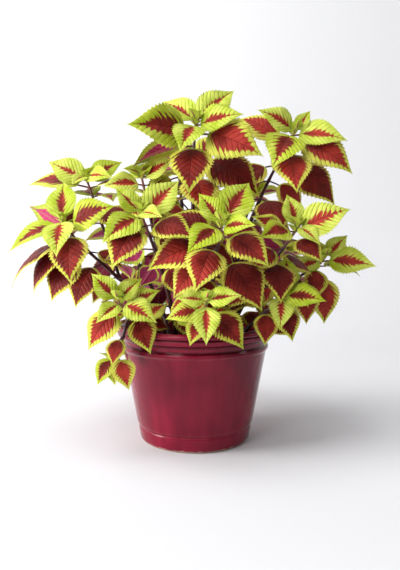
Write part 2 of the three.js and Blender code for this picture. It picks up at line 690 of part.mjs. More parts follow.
/** Leaves of a regular shoot: crossed pairs, larger, older and lower the further they are from its tip. */
function regularLeaves(pairs, light, seed) {
  const draw = draws(seed);
  const rows = [];
  for (let i = 0; i < pairs; i++) {
    for (const half of [0, 180]) {
      const azimuth = radians(light + 45 + 90 * i + half + 24 * (draw() - 0.5));
      const elevation = radians(34 - 21 * i + 16 * (draw() - 0.5));
      const size = Math.min(64, 35 + 8 * i) + 6 * (draw() - 0.5);
      const reach = times(heading(azimuth, elevation), size);
      rows.push([...reach, 20 + 30 * draw(), Math.min(1, 0.1 + 0.2 * i)]);
    }
  }
  return rows;
}

/** Every shoot with its centre line and leaves, in the order in which they are grown. */
function layOutShoots() {
  const shoots = [];
  for (const [stem, members] of Object.entries(PLANT)) {
    for (const shoot of members) {
      const parent = shoots.find((other) => shoot.from && other.name === shoot.from[0]);
      const start = parent
        ? parent.line[Math.round(shoot.from[1] * STEM_STEPS)]
        : [shoot.root[0], shoot.root[1], SOIL_TOP + 4];
      const line = centreLine(start, shoot.tip, !parent);
      const leaves = shoot.leaves ?? regularLeaves(shoot.pairs, shoot.light, 100 + shoots.length);
      shoots.push({ ...shoot, stem, line, leaves });
    }
  }
  return shoots;
}

/** Fuses pieces into one solid and fills the small voids that stalks close off where they meet. */
function fused(pieces) {
  const shells = wasm.Manifold.union(pieces).asOriginal().simplify(SLIVER).decompose();
  return wasm.Manifold.compose(shells.filter((shell) => shell.volume() > 0));
}

/** A named mesh with its own material. */
function namedMesh(name, solid, look) {
  const mesh = new THREE.Mesh(geometryOf(solid), new THREE.MeshStandardMaterial(look));
  mesh.name = name;
  return mesh;
}

const coleus = new THREE.Group();
const shoots = layOutShoots();
const leaves = growLeaves(shoots);
coleus.add(namedMesh("pot", makePot(), LOOKS.pot));
coleus.add(namedMesh("potting_soil", makeSoil(shoots.filter((s) => s.root).map((s) => s.root)), LOOKS.soil));
for (const stem of Object.keys(PLANT)) {
  const members = shoots.filter((shoot) => shoot.stem === stem);
  const pieces = [
    ...members.map((shoot) => solidOf(tubeThrough(stemRings(shoot)))),
    ...leaves.filter((leaf) => leaf.shoot.stem === stem).map((leaf) => solidOf(leafGeometry(leaf))),
  ];
  coleus.add(namedMesh(stem, fused(pieces), LOOKS.foliage));
}

export default coleus;
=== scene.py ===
"""A bushy coleus in its glazed pot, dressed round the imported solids.

The growth rule is the one that the solids follow, in millimetres. Meshes, materials, lights and the camera
are in metres, with +Z up and the plant's fullest side towards -Y.
"""

import json
import logging
import math
import random
from collections.abc import Iterator, Sequence
from dataclasses import dataclass, field
from enum import Enum

import bpy
import numpy as np
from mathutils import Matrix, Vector, noise
from mathutils.bvhtree import BVHTree

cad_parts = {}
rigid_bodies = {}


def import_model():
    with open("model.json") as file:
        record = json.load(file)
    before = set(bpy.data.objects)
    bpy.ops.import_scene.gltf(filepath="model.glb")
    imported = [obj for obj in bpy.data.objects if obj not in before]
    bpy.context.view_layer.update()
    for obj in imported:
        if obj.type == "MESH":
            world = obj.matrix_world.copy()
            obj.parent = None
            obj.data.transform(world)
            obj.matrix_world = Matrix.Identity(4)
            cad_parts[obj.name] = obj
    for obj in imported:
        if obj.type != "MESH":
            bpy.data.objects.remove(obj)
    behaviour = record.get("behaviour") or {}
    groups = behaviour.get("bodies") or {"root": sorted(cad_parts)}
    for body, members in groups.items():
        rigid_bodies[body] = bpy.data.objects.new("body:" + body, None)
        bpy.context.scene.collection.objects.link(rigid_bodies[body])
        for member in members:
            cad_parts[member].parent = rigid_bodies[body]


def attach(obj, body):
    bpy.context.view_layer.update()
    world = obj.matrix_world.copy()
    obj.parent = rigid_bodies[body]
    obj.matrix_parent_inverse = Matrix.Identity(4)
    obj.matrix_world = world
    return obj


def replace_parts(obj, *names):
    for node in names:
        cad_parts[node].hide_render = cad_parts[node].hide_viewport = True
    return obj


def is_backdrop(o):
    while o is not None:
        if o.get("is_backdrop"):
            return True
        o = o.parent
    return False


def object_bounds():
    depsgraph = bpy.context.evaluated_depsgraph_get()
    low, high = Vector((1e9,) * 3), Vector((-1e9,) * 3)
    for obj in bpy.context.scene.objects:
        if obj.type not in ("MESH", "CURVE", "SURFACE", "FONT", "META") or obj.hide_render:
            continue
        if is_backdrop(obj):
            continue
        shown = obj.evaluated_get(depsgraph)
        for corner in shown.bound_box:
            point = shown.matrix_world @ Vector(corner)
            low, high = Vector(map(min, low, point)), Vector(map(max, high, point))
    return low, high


log = logging.getLogger("coleus")

MM = 0.001
UP = np.array((0.0, 0.0, 1.0))

# Inside of the pot, in millimetres: radius of its floor, radius and height of its wall's foot and top, and
# height at which the lip starts.
FLOOR_RADIUS = 61
WALL_FOOT = (65.5, 14)
WALL_TOP = (84, 118)
LIP_FOOT = 128

# A blade's outline: how near its foot it is widest, how round its foot is, and how much its apex tapers.
WIDEST, FOOT_ROUNDING, APEX_TAPER = 0.66, 0.8, 0.55

# A shoot's centre line, as shares of its reach: how far out and up it leaves the soil, or along its reach it
# leaves its parent, and how long and how far out of upright it runs into its growing point.
SOIL_OUT, SOIL_UP = 0.12, 0.4
BRANCH_ALONG = 0.35
TIP_RUN, TIP_LEAN = 0.3, 0.6

# A line and a face that meet at less than this, in cubic millimetres, count as parallel.
FLAT = 1e-9

# Most of a side that the rounding of a corner may take up, and how near doubled vertices lie, in metres.
LARGEST_CUT = 0.45
MERGE_WITHIN = 1e-6

# First and last place along a blade at which its width is read, so that neither end closes to a point.
WIDTH_FROM, WIDTH_TO = 0.0005, 0.9995

# Each draw is the one before it times the factor, less all whole ranges.
DRAW_FACTOR, DRAW_RANGE = 48271, 2147483647

Row = tuple[float, float, float, float, float]
LinesAndFaces = tuple[np.ndarray, np.ndarray]
Colour = tuple[float, float, float]
Place = tuple[float, float, float]
Profile = list[tuple[float, float]]
Piece = bpy.types.Object
Finish = bpy.types.Material
Socket = bpy.types.NodeSocket
Value = Socket | float
Inputs = dict[str | int, object]
Number = np.ndarray | float


# ---------------------------------------------------------------- the plant's habit, in millimetres


@dataclass(frozen=True)
class ShootPlan:
    """A shoot: rooted in the soil, or grown from another at a share of its length, and ending at its tip.

    A row is one leaf, in opposite pairs from the growing point down: reach of its blade in x, y and z, lean
    of its face from the sky towards the light in degrees, and age from 0 for new to 1 for old. A shoot with
    no rows of its own has as many pairs as it says, laid out by the rule for regular shoots.
    """

    name: str
    tip: tuple[float, float, float]
    light: float
    root: tuple[float, float] | None = None
    parent: tuple[str, float] | None = None
    rows: tuple[Row, ...] = ()
    pairs: int = 0


PLANT: dict[str, tuple[ShootPlan, ...]] = {
    "leafy_stem_top": (
        ShootPlan("E", root=(0, -6), tip=(2, -15, 397), light=-90, rows=(
            (-40, 28, 28, 60, 0.15), (43, 18, 38, 60, 0.2),
            (53, -14, 9, 65, 0.25), (-16, -40, -36, 50, 0.3),
            (-71, -14, 25, 78, 0.5), (64, -28, -31, 76, 0.7),
            (-4, -36, -58, 45, 0.8), (-66, 4, -26, -18, 0.5),
            (60, -22, -46, 50, 0.85), (44, 34, 30, 30, 0.6),
            (10, -40, -46, 45, 0.95), (-30, 50, 6, 20, 0.6),
            (-42, 42, -30, 20, 0.8), (50, -18, -30, 50, 0.9),
            (-30, -30, -40, 50, 0.95), (30, 40, -30, 20, 0.9),
            (-44, 8, -26, 30, 0.9), (44, 6, -28, 40, 0.9),
        )),
    ),
    "leafy_stem_top_right": (
        ShootPlan("F", root=(32, 2), tip=(127, 5, 388), light=-90, rows=(
            (16, 4, 24, 60, 0.2), (-43, -8, 22, 65, 0.3),
            (56, -20, -8, 60, 0.3), (-26, -45, -45, 55, 0.45),
            (56, -22, -40, 50, 0.8), (-50, 20, 28, 50, 0.75),
            (6, -38, -50, 50, 0.9), (34, 30, -30, 20, 0.8),
            (50, -12, -48, 50, 0.95), (-40, -6, -32, 40, 0.9),
            (-26, 34, -24, 25, 0.9), (26, 6, -44, 40, 0.95),
            (14, -34, -42, 45, 1), (-34, 36, -30, 20, 0.85),
            (34, 30, -24, 20, 0.85), (-18, -26, -40, 40, 0.95),
        )),
    ),
    "leafy_stem_left": (
        ShootPlan("B", root=(-34, -4), tip=(-163, -20, 275), light=-100, rows=(
            (-5, 34, 48, 70, 0.25), (2, -40, -40, 55, 0.3),
            (54, -18, 20, 65, 0.5), (-58, -14, -28, 28, 0.4),
            (5, -30, -54, 50, 0.85), (-48, 16, 34, -80, 0.6),
            (-62, 0, -54, 12, 0.9), (-36, -4, -58, 20, 0.95),
            (-28, -10, -55, 45, 0.9), (30, 4, -20, 30, 0.9),
            (-18, -24, -46, 50, 0.95), (24, 46, -26, 20, 0.8),
            (-20, -10, -30, 40, 0.85), (20, -16, -34, 45, 0.95),
            (-36, 34, -24, 20, 0.8), (22, 34, -34, 25, 0.9),
        )),
        ShootPlan("A", parent=("B", 0.5), tip=(-144, 40, 335), light=-95, rows=(
            (-12, -26, -12, 55, 0.1), (34, -24, -2, 60, 0.15),
            (-42, -4, 34, 70, 0.2), (40, 10, 24, 65, 0.3),
            (-74, 8, 12, 30, 0.6), (38, -10, 2, 20, 0.7),
            (15, 54, -4, 20, 0.6), (-20, 46, 8, 30, 0.4),
            (34, -26, -30, 45, 0.8), (-30, -16, -34, 45, 0.85),
            (36, 30, -16, 25, 0.8), (-38, 30, -20, 25, 0.8),
        )),
    ),
    "leafy_stem_front_left": (
        ShootPlan("C", root=(-22, -24), tip=(-62, -78, 284), light=-90, rows=(
            (24, -20, -6, 60, 0.1), (-26, 2, 26, 65, 0.15),
            (36, 20, 40, 65, 0.3), (-36, -30, -28, 55, 0.3),
            (44, -26, -16, 50, 0.75), (-24, -32, -44, 50, 0.8),
            (-42, 6, 18, 60, 0.4), (34, -10, -26, 45, 0.85),
            (-48, 10, -14, -65, 0.8), (10, 44, -5, 20, 0.5),
            (22, -16, -36, 45, 0.95), (-18, 10, -26, -70, 0.85),
            (-12, 30, -34, 20, 0.9), (24, 30, -30, 20, 0.9),
            (-34, -8, -30, 40, 0.9), (36, -8, -30, 40, 0.95),
        )),
        ShootPlan("D", parent=("C", 0.55), tip=(-69, 15, 336), light=-90, rows=(
            (-18, -14, 8, 60, 0.1), (17, -6, 14, 60, 0.1),
            (-18, 12, 16, 55, 0.2), (30, 2, 28, 60, 0.35),
            (-42, -18, -4, 60, 0.4), (40, 14, -12, 50, 0.55),
            (12, -38, -28, 50, 0.7), (-8, 44, 4, 30, 0.5),
            (-36, 14, -28, 40, 0.8), (34, 26, -20, 30, 0.8),
        )),
    ),
    "leafy_stem_centre": (
        ShootPlan("J", root=(14, -34), tip=(30, -96, 272), light=-90, rows=(
            (-23, 12, 31, 65, 0.2), (29, 32, 43, 65, 0.3),
            (32, -24, 2, 60, 0.25), (-32, -30, -26, 50, 0.35),
            (40, -26, -32, 50, 0.75), (-48, 10, 24, 40, 0.7),
            (-18, -34, -44, 50, 0.85), (-60, -16, -26, 45, 0.85),
            (34, -24, -50, 50, 0.95), (-36, -16, -36, 45, 0.9),
            (-12, -22, -36, 45, 0.95), (44, 4, -28, 40, 0.95),
            (6, -26, -36, 45, 1), (-34, 26, -24, 30, 0.9),
            (38, 26, -18, 20, 0.8), (-10, 36, -30, 20, 1),
        )),
    ),
    "leafy_stem_front": (
        ShootPlan("M", root=(8, -56), tip=(12, -124, 189), light=-90, rows=(
            (-28, -8, 6, 60, 0.2), (34, -8, 6, 60, 0.2),
            (0, -6, 22, 80, 0.05), (0, -24, -36, 55, 0.3),
            (-36, -8, -8, 50, 0.5), (30, -14, -36, 50, 0.7),
            (-12, -14, -26, 40, 0.6), (22, 26, -6, 40, 0.6),
            (-24, 30, 6, 30, 0.4), (34, 14, -4, 30, 0.7),
        )),
    ),
    "leafy_stem_low_left": (
        ShootPlan("K", root=(-44, -34), tip=(-86, -94, 187), light=-95, rows=(
            (-27, 4, 27, 65, 0.25), (24, 8, 22, 60, 0.15),
            (36, -18, -18, 55, 0.35), (-22, -20, -18, 55, 0.2),
            (34, -4, 20, 55, 0.45), (-28, -18, -39, 50, 0.75),
            (16, -18, -36, 50, 0.75), (-42, 6, -5, 40, 0.6),
            (20, 10, -26, 40, 0.85), (18, 36, 4, 30, 0.5),
            (-24, 28, -8, 30, 0.6),
        )),
        ShootPlan("L", parent=("K", 0.7), tip=(-93, -84, 110), light=-100, rows=(
            (2, -12, -22, 50, 0.4), (12, -10, -4, 50, 0.2),
            (-13, -6, -30, 45, 0.55), (9, -8, -35, 35, 0.7),
            (6, 18, -16, 20, 0.6), (-14, 14, -14, 20, 0.6),
            (-6, -12, -28, 35, 0.85), (10, 12, -26, 20, 0.8),
        )),
    ),
    "leafy_stem_right": (
        ShootPlan("G", root=(40, -22), tip=(120, -60, 268), light=-85, rows=(
            (-9, 14, 36, 65, 0.25), (20, -20, -20, 55, 0.15),
            (50, -12, 29, 60, 0.45), (-38, -26, -8, 50, 0.5),
            (24, -24, -25, 50, 0.8), (-36, -6, 22, 50, 0.7),
            (-32, -18, -26, 45, 0.9), (14, 46, 6, 20, 0.5),
            (2, -30, -42, 50, 0.9), (40, 22, -20, 30, 0.85),
            (-32, -14, -40, 45, 0.95), (38, -8, -36, 40, 0.95),
            (-28, 30, -10, 30, 0.7), (24, 34, -24, 20, 0.8),
        )),
        ShootPlan("H", parent=("G", 0.42), tip=(166, 5, 231), light=-80, rows=(
            (26, 4, 26, 60, 0.25), (-8, 0, 20, 60, 0.15),
            (56, -12, -9, 60, 0.4), (-32, -20, -4, 50, 0.3),
            (-2, -24, -34, 55, 0.75), (50, 14, -14, 10, 0.6),
            (13, -8, -56, 45, 0.85), (-28, 26, -6, 30, 0.6),
            (4, -14, -50, 40, 0.95), (20, 40, -24, 20, 0.7),
            (12, 44, 2, 20, 0.6), (-20, 10, -36, 30, 0.85),
        )),
    ),
    "leafy_stem_low_right": (
        ShootPlan("I", root=(48, -40), tip=(103, -76, 194), light=-85, rows=(
            (-20, 2, 24, 60, 0.2), (0, 10, 44, 65, 0.35),
            (42, -18, -4, 55, 0.35), (-4, -26, -32, 55, 0.3),
            (11, -16, -38, 50, 0.75), (14, 14, 30, 60, 0.4),
            (-3, -14, -34, 50, 0.85), (-26, 16, 24, 50, 0.7),
            (32, 2, -20, 45, 0.85), (28, 32, 2, 20, 0.6),
            (10, 38, -8, 30, 0.8), (-30, 26, -14, 30, 0.8),
        )),
    ),
    "leafy_stem_back_top": (
        ShootPlan("N", root=(-8, 26), tip=(-26, 93, 366), light=100, pairs=7),
    ),
    "leafy_stem_back_right": (
        ShootPlan("O", root=(28, 30), tip=(86, 112, 320), light=60, pairs=6),
        ShootPlan("R", parent=("O", 0.45), tip=(136, 128, 234), light=45, pairs=5),
    ),
    "leafy_stem_back_left": (
        ShootPlan("P", root=(-34, 34), tip=(-110, 118, 272), light=130, pairs=6),
        ShootPlan("S", parent=("P", 0.4), tip=(-78, 156, 196), light=115, pairs=5),
    ),
    "leafy_stem_back": (
        ShootPlan("Q", root=(2, 50), tip=(8, 150, 280), light=88, pairs=6),
        ShootPlan("T", parent=("Q", 0.4), tip=(52, 166, 194), light=75, pairs=5),
    ),
}


# ---------------------------------------------------------------- small helpers


def unit(vector: np.ndarray) -> np.ndarray:
    """The vector at a length of one."""
    return vector / np.linalg.norm(vector)


def heading(azimuth: float, elevation: float) -> np.ndarray:
    """The direction with a heading from +X and a height above the horizon, both in radians."""
    level = math.cos(elevation)
    return np.array((level * math.cos(azimuth), level * math.sin(azimuth), math.sin(elevation)))


def outline(t: Number) -> Number:
    """Half width of a blade, as a share of its largest, at a share of its length."""
    return np.power(np.sin(np.pi * np.power(t, WIDEST)), FOOT_ROUNDING + APEX_TAPER * t)


def inner_radius(z: Number) -> Number:
    """Radius of the inside of the pot's wall at a height, in millimetres."""
    return WALL_FOOT[0] + (z - WALL_FOOT[1]) * (WALL_TOP[0] - WALL_FOOT[0]) / (WALL_TOP[1] - WALL_FOOT[1])


def draws(seed: int) -> Iterator[float]:
    """Seeded draws, the same as the solids use.

    Args:
        seed: Where the draws start.

    Yields:
        Numbers from 0 to 1, without end.
    """
    state = seed
    while True:
        state = state * DRAW_FACTOR % DRAW_RANGE
        yield state / DRAW_RANGE


def nearest(value: float) -> int:
    """The nearest whole number, halves upwards."""
    return math.floor(value + 0.5)


def centre_line(start: np.ndarray, tip: np.ndarray, rooted: bool, steps: int) -> np.ndarray:
    """Centre line of a shoot: straight up out of the soil, then out to its growing point.

    Args:
        start: Where the shoot leaves the soil or its parent.
        tip: Its growing point.
        rooted: Whether it stands in the soil.
        steps: Number of stretches that the line is divided into.

    Returns:
        The points from start to tip, one row each.
    """
    reach = tip - start
    out = reach * (1, 1, 0)
    if rooted:
        first = start + (SOIL_OUT * out[0], SOIL_OUT * out[1], SOIL_UP * reach[2])
    else:
        first = start * (1 - BRANCH_ALONG) + tip * BRANCH_ALONG
    lean = unit(np.sign(reach[2]) * UP + out * TIP_LEAN / max(np.linalg.norm(out), 1))
    last = tip - lean * TIP_RUN * np.linalg.norm(reach)
    t = np.linspace(0, 1, steps + 1)[:, None]
    s = 1 - t
    return start * s**3 + first * 3 * s * s * t + last * 3 * s * t * t + tip * t**3


@dataclass(eq=False)
class Shoot:
    """A shoot laid out in space."""

    plan: ShootPlan
    stem: str
    start: np.ndarray
    line: np.ndarray
    rows: Sequence[Row]

    @property
    def rooted(self) -> bool:
        """Whether the shoot stands in the soil."""
        return self.plan.root is not None

    def below_tip(self, distance: float) -> np.ndarray:
        """Finds a place on the centre line.

        Args:
            distance: How far back from the growing point it lies.

        Returns:
            The point.
        """
        left = distance
        for i in range(len(self.line) - 1, 0, -1):
            step = np.linalg.norm(self.line[i] - self.line[i - 1])
            if step >= left:
                return self.line[i] * (1 - left / step) + self.line[i - 1] * (left / step)
            left -= step
        return self.line[0]


@dataclass(eq=False)
class Leaf:
    """A leaf's place: its node on the stem, the base of its blade, and the blade's own axes."""

    shoot: Shoot
    age: float
    node: np.ndarray
    base: np.ndarray
    along: np.ndarray
    normal: np.ndarray
    chord: float
    half: float
    arch: float
    fold: float

    @property
    def side(self) -> np.ndarray:
        """The direction across the blade."""
        return np.cross(self.normal, self.along)


# ---------------------------------------------------------------- finding room for each leaf


class Sheets:
    """Coarse sheets of lines and faces, kept in the form in which crossings are quick to find."""

    def __init__(self, lines: np.ndarray, faces: np.ndarray) -> None:
        """Keeps the sheets.

        Args:
            lines: End points, shaped lines x 2 x 3.
            faces: Corners of triangles, shaped faces x 3 x 3.
        """
        self.start = lines[:, 0]
        self.along = lines[:, 1] - lines[:, 0]
        self.moment = np.cross(self.start, self.along)
        corner, self.edge, self.other = faces[:, 0], faces[:, 1] - faces[:, 0], faces[:, 2] - faces[:, 0]
        self.normal = np.cross(self.edge, self.other)
        self.offset = (corner * self.normal).sum(1)
        self.other_turn = np.cross(self.other, corner)
        self.edge_turn = np.cross(corner, self.edge)

    @classmethod
    def together(cls, parts: Sequence[LinesAndFaces]) -> "Sheets | None":
        """The sheets of several leaves or stems as one, or None where there are none."""
        return cls(*(np.concatenate(part) for part in zip(*parts))) if parts else None

    def pierce(self, sheet: "Sheets") -> bool:
        """Tells whether a line of these goes through a face of the others.

        Args:
            sheet: The others.

        Returns:
            True where one does.
        """
        area = -(self.along @ sheet.normal.T)
        area[np.abs(area) < FLAT] = np.nan
        u = (self.moment @ sheet.other.T - self.along @ sheet.other_turn.T) / area
        v = -(self.moment @ sheet.edge.T + self.along @ sheet.edge_turn.T) / area
        t = (self.start @ sheet.normal.T - sheet.offset) / area
        return bool(((u >= 0) & (v >= 0) & (u + v <= 1) & (t >= 0) & (t <= 1)).any())

    def meet(self, sheet: "Sheets | None") -> bool:
        """Whether the sheets go through the others, if there are any."""
        return sheet is not None and (self.pierce(sheet) or sheet.pierce(self))


def sheet_pattern() -> LinesAndFaces:
    """Lines and faces of a blade's coarse sheet, as numbers of its points.

    Point 0 is the node, 1 the blade's base, 2 its apex and the rest are three rows of three.

    Returns:
        The lines and the faces.
    """
    rows = [[3 + 3 * i + k for k in range(3)] for i in range(3)]
    lines = [(0, 1)]
    faces = []
    for k in (0, 1):
        faces += [(1, rows[0][k], rows[0][k + 1]), (rows[2][k], rows[2][k + 1], 2)]
        for i in (0, 1):
            faces.append((rows[i][k], rows[i][k + 1], rows[i + 1][k]))
            faces.append((rows[i + 1][k + 1], rows[i][k + 1], rows[i + 1][k]))
        lines += [(row[k], row[k + 1]) for row in rows]
    for k in range(3):
        lines += [(1, rows[0][k]), (rows[0][k], rows[1][k]), (rows[1][k], rows[2][k]), (rows[2][k], 2)]
    return np.array(lines), np.array(faces)


SHEET_LINES, SHEET_FACES = sheet_pattern()
SHEET_ROWS = (0.16, 0.45, 0.74)
SHEET_T = np.array((0.0, 1.0, *(t for t in SHEET_ROWS for _ in range(3))))
SHEET_U = np.array((0.0, 0.0, *((1.0, 0.0, -1.0) * 3)))


@dataclass
class Neighbours:
    """What a leaf must have room among."""

    own_leaves: Sheets | None
    far_leaves: Sheets | None
    own_stem: Sheets
    other_stems: Sheets | None


@dataclass(frozen=True)
class RegularShoot:
    """Crossed pairs of leaves, each pair larger, older and lower than the one above it.

    Lengths are in millimetres and angles in degrees. A spread is the whole width that the draws cover.
    """

    first_turn: float = 45
    pair_turn: float = 90
    turn_spread: float = 24
    first_lift: float = 34
    pair_droop: float = 21
    lift_spread: float = 16
    first_size: float = 35
    pair_growth: float = 8
    largest: float = 64
    size_spread: float = 6
    least_lean: float = 20
    lean_spread: float = 30
    first_age: float = 0.1
    pair_age: float = 0.2

    def rows(self, pairs: int, light: float, seed: int) -> list[Row]:
        """Works out the rows of a shoot.

        Args:
            pairs: Number of pairs.
            light: Heading of the light, in degrees.
            seed: Where the draws start.

        Returns:
            The rows, from the growing point down.
        """
        draw = draws(seed)
        rows: list[Row] = []
        for i in range(pairs):
            first = light + self.first_turn + self.pair_turn * i
            age = min(1, self.first_age + self.pair_age * i)
            for half_turn in (0, 180):
                azimuth = math.radians(first + half_turn + self.turn_spread * (next(draw) - 0.5))
                lift = self.first_lift - self.pair_droop * i + self.lift_spread * (next(draw) - 0.5)
                size = min(self.largest, self.first_size + self.pair_growth * i)
                reach = heading(azimuth, math.radians(lift)) * (size + self.size_spread * (next(draw) - 0.5))
                rows.append((*reach, self.least_lean + self.lean_spread * next(draw), age))
        return rows


@dataclass
class GrowthRule:
    """The rule that grows the leaves, each turned until it has room.

    Lengths are in millimetres. A stalk's length and a blade's width are shares of the blade's length.
    """

    pot_height: float = 146
    rim_radius: float = 101.5
    soil_top: float = 116
    soil_crown: float = 4
    soil_margin: float = 2
    hole_depth: float = 42
    gap: float = 0.3
    stem_base_radius: float = 3.4
    stem_tip_radius: float = 1.3
    side_base_radius: float = 2.2
    stem_steps: int = 24
    stem_rings: int = 5
    first_node: float = 3
    node_pitch: float = 5
    node_growth: float = 1.8
    new_stalk: float = 0.05
    stalk_growth: float = 0.27
    stalk_lift: float = 0.26
    slender: float = 0.33
    broad: float = 0.4
    new_arch: float = 0.05
    old_arch: float = 0.13
    new_fold: float = 0.32
    old_fold: float = -0.08
    steepest: float = 1.5
    clearance: float = 1.5
    spare_width: float = 1.08
    free_stalk: float = 0.4
    probes: int = 7
    sizes: tuple[float, ...] = (1, 0.85, 0.7)
    swing_step: float = 6
    swing_rings: int = 6
    far_reach: float = 1.4
    far_margin: float = 25
    first_seed: int = 100
    regular: RegularShoot = RegularShoot()
    shoots: list[Shoot] = field(default_factory=list)
    leaves: list[Leaf] = field(default_factory=list)

    def lay_out(self) -> None:
        """Lays out every shoot with its centre line and rows, in the order in which they are grown."""
        for stem, plans in PLANT.items():
            for plan in plans:
                if plan.parent:
                    parent = next(shoot for shoot in self.shoots if shoot.plan.name == plan.parent[0])
                    start = parent.line[nearest(plan.parent[1] * self.stem_steps)]
                else:
                    start = np.array((*plan.root, self.soil_top + self.soil_crown), float)
                line = centre_line(start, np.array(plan.tip, float), plan.parent is None, self.stem_steps)
                seed = self.first_seed + len(self.shoots)
                rows = plan.rows or self.regular.rows(plan.pairs, plan.light, seed)
                self.shoots.append(Shoot(plan, stem, start, line, rows))

    def place(self, shoot: Shoot, index: int, swing: float, lift: float, share: float) -> Leaf:
        """Places a leaf.

        Args:
            shoot: The shoot that it grows on.
            index: Its row.
            swing: Turn round the upright, in degrees.
            lift: Turn upwards, in degrees.
            share: Its size, as a share of its full size.

        Returns:
            The leaf.
        """
        dx, dy, dz, face, age = shoot.rows[index]
        pair = index // 2
        chord = math.sqrt(dx * dx + dy * dy + dz * dz) * share
        azimuth = math.atan2(dy, dx) + math.radians(swing)
        elevation = math.asin(dz * share / chord) + math.radians(lift)
        elevation = max(-self.steepest, min(self.steepest, elevation))
        along = heading(azimuth, elevation)
        node = shoot.below_tip(self.first_node + self.node_pitch * pair + self.node_growth * pair * pair)
        stalk = chord * (self.new_stalk + self.stalk_growth * age)
        base = node + heading(azimuth, 0.5 * elevation + self.stalk_lift) * stalk
        light = heading(math.radians(shoot.plan.light), 0)
        hint = UP * math.cos(math.radians(face)) + light * math.sin(math.radians(face))
        normal = unit(hint - along * (hint @ along))
        half = chord * (self.slender + (self.broad - self.slender) * age)
        arch = self.new_arch + (self.old_arch - self.new_arch) * age
        fold = self.new_fold + (self.old_fold - self.new_fold) * age
        return Leaf(shoot, age, node, base, along, normal, chord, half, arch, fold)

    def sheet(self, leaf: Leaf, width: float) -> LinesAndFaces:
        """Works out a leaf's coarse sheet.

        Args:
            leaf: The leaf.
            width: Its width, as a share of its own.

        Returns:
            Its lines, of which the first is its stalk, and its faces.
        """
        across = SHEET_U * width * leaf.half * outline(SHEET_T)
        rise = 4 * leaf.arch * leaf.chord * SHEET_T * (1 - SHEET_T) + leaf.fold * np.abs(across)
        blade = (
            leaf.base
            + leaf.along * (leaf.chord * SHEET_T)[:, None]
            + leaf.side * across[:, None]
            + leaf.normal * rise[:, None]
        )
        points = np.vstack((leaf.node, blade))
        lines = points[SHEET_LINES]
        lines[0, 1] = leaf.base
        return lines, points[SHEET_FACES]

    def own_sheet(self, leaf: Leaf) -> LinesAndFaces:
        """Works out a leaf's coarse sheet, without the stretch of its stalk where its node's leaves meet.

        Args:
            leaf: The leaf.

        Returns:
            Its lines and faces.
        """
        lines, faces = self.sheet(leaf, 1)
        lines[0, 0] = leaf.node * (1 - self.free_stalk) + leaf.base * self.free_stalk
        return lines, faces

    def clear_of_pot(self, lines: np.ndarray) -> bool:
        """Tells whether a leaf is clear of the pot and the soil.

        Args:
            lines: The lines of its coarse sheet.

        Returns:
            True where points along the lines are all clear.
        """
        share = np.linspace(0, 1, self.probes)[:, None, None]
        points = (lines[:, 0] * (1 - share) + lines[:, 1] * share).reshape(-1, 3)
        radius, z = np.hypot(points[:, 0], points[:, 1]), points[:, 2]
        outside = (z > self.pot_height + self.clearance) | (radius > self.rim_radius + self.clearance)
        wall = inner_radius(np.minimum(z, WALL_TOP[1]))
        surface = self.soil_top + 2 * self.clearance + self.soil_margin
        inside = (radius < wall - self.clearance) & (z > surface)
        return bool(np.where(outside, z > self.clearance, inside).all())

    def stem_sections(self, shoot: Shoot) -> list[np.ndarray]:
        """Works out the square sections of a stem.

        Args:
            shoot: Its shoot.

        Returns:
            The four corners of each, from the foot to the growing point.
        """
        radius = self.stem_base_radius if shoot.rooted else self.side_base_radius
        line = shoot.line
        places = []
        if shoot.rooted:
            foot = np.array((line[0][0], line[0][1], self.soil_top - self.hole_depth + self.gap))
            places.append((foot, UP, radius))
        for i in range(self.stem_rings + 1):
            at = nearest(i * self.stem_steps / self.stem_rings)
            along = line[min(at + 1, self.stem_steps)] - line[max(at - 1, 0)]
            direction = UP if i == 0 and shoot.rooted else unit(along)
            size = radius + (self.stem_tip_radius - radius) * i / self.stem_rings
            places.append((line[at], direction, size))
        sections = []
        for point, direction, size in places:
            side = unit(np.cross((0.0, 1.0, 0.0) if abs(direction[2]) > 0.9 else UP, direction))
            other = np.cross(direction, side)
            sections.append(point + size * np.array((side, other, -side, -other)))
        return sections

    def stem_sheets(self, shoot: Shoot) -> LinesAndFaces:
        """Works out the coarse sheets of a stem.

        Args:
            shoot: Its shoot.

        Returns:
            Their lines and faces.
        """
        sections = self.stem_sections(shoot)
        lines, faces = [], []
        for low, high in zip(sections, sections[1:]):
            for k in range(4):
                n = (k + 1) % 4
                lines.append((low[k], high[k]))
                faces += [(low[k], low[n], high[n]), (low[k], high[n], high[k])]
        return np.array(lines), np.array(faces)

    def grow(self) -> None:
        """Grows the leaves one after another. A leaf that finds no room isn't grown."""
        self.lay_out()
        stems = [self.stem_sheets(shoot) for shoot in self.shoots]
        own_sheets: list[LinesAndFaces] = []
        far_sheets: list[LinesAndFaces] = []
        for number, shoot in enumerate(self.shoots):
            own_stem = Sheets(*stems[number])
            other_stems = Sheets.together(stems[:number] + stems[number + 1 :])
            first = len(self.leaves)
            for index in range(len(shoot.rows)):
                far_leaves = self.near_sheets(far_sheets[:first], shoot, index)
                around = Neighbours(Sheets.together(own_sheets[first:]), far_leaves, own_stem, other_stems)
                leaf = self.first_with_room(shoot, index, around)
                if leaf:
                    self.leaves.append(leaf)
                    own_sheets.append(self.own_sheet(leaf))
                    far_sheets.append(self.sheet(leaf, self.spare_width))

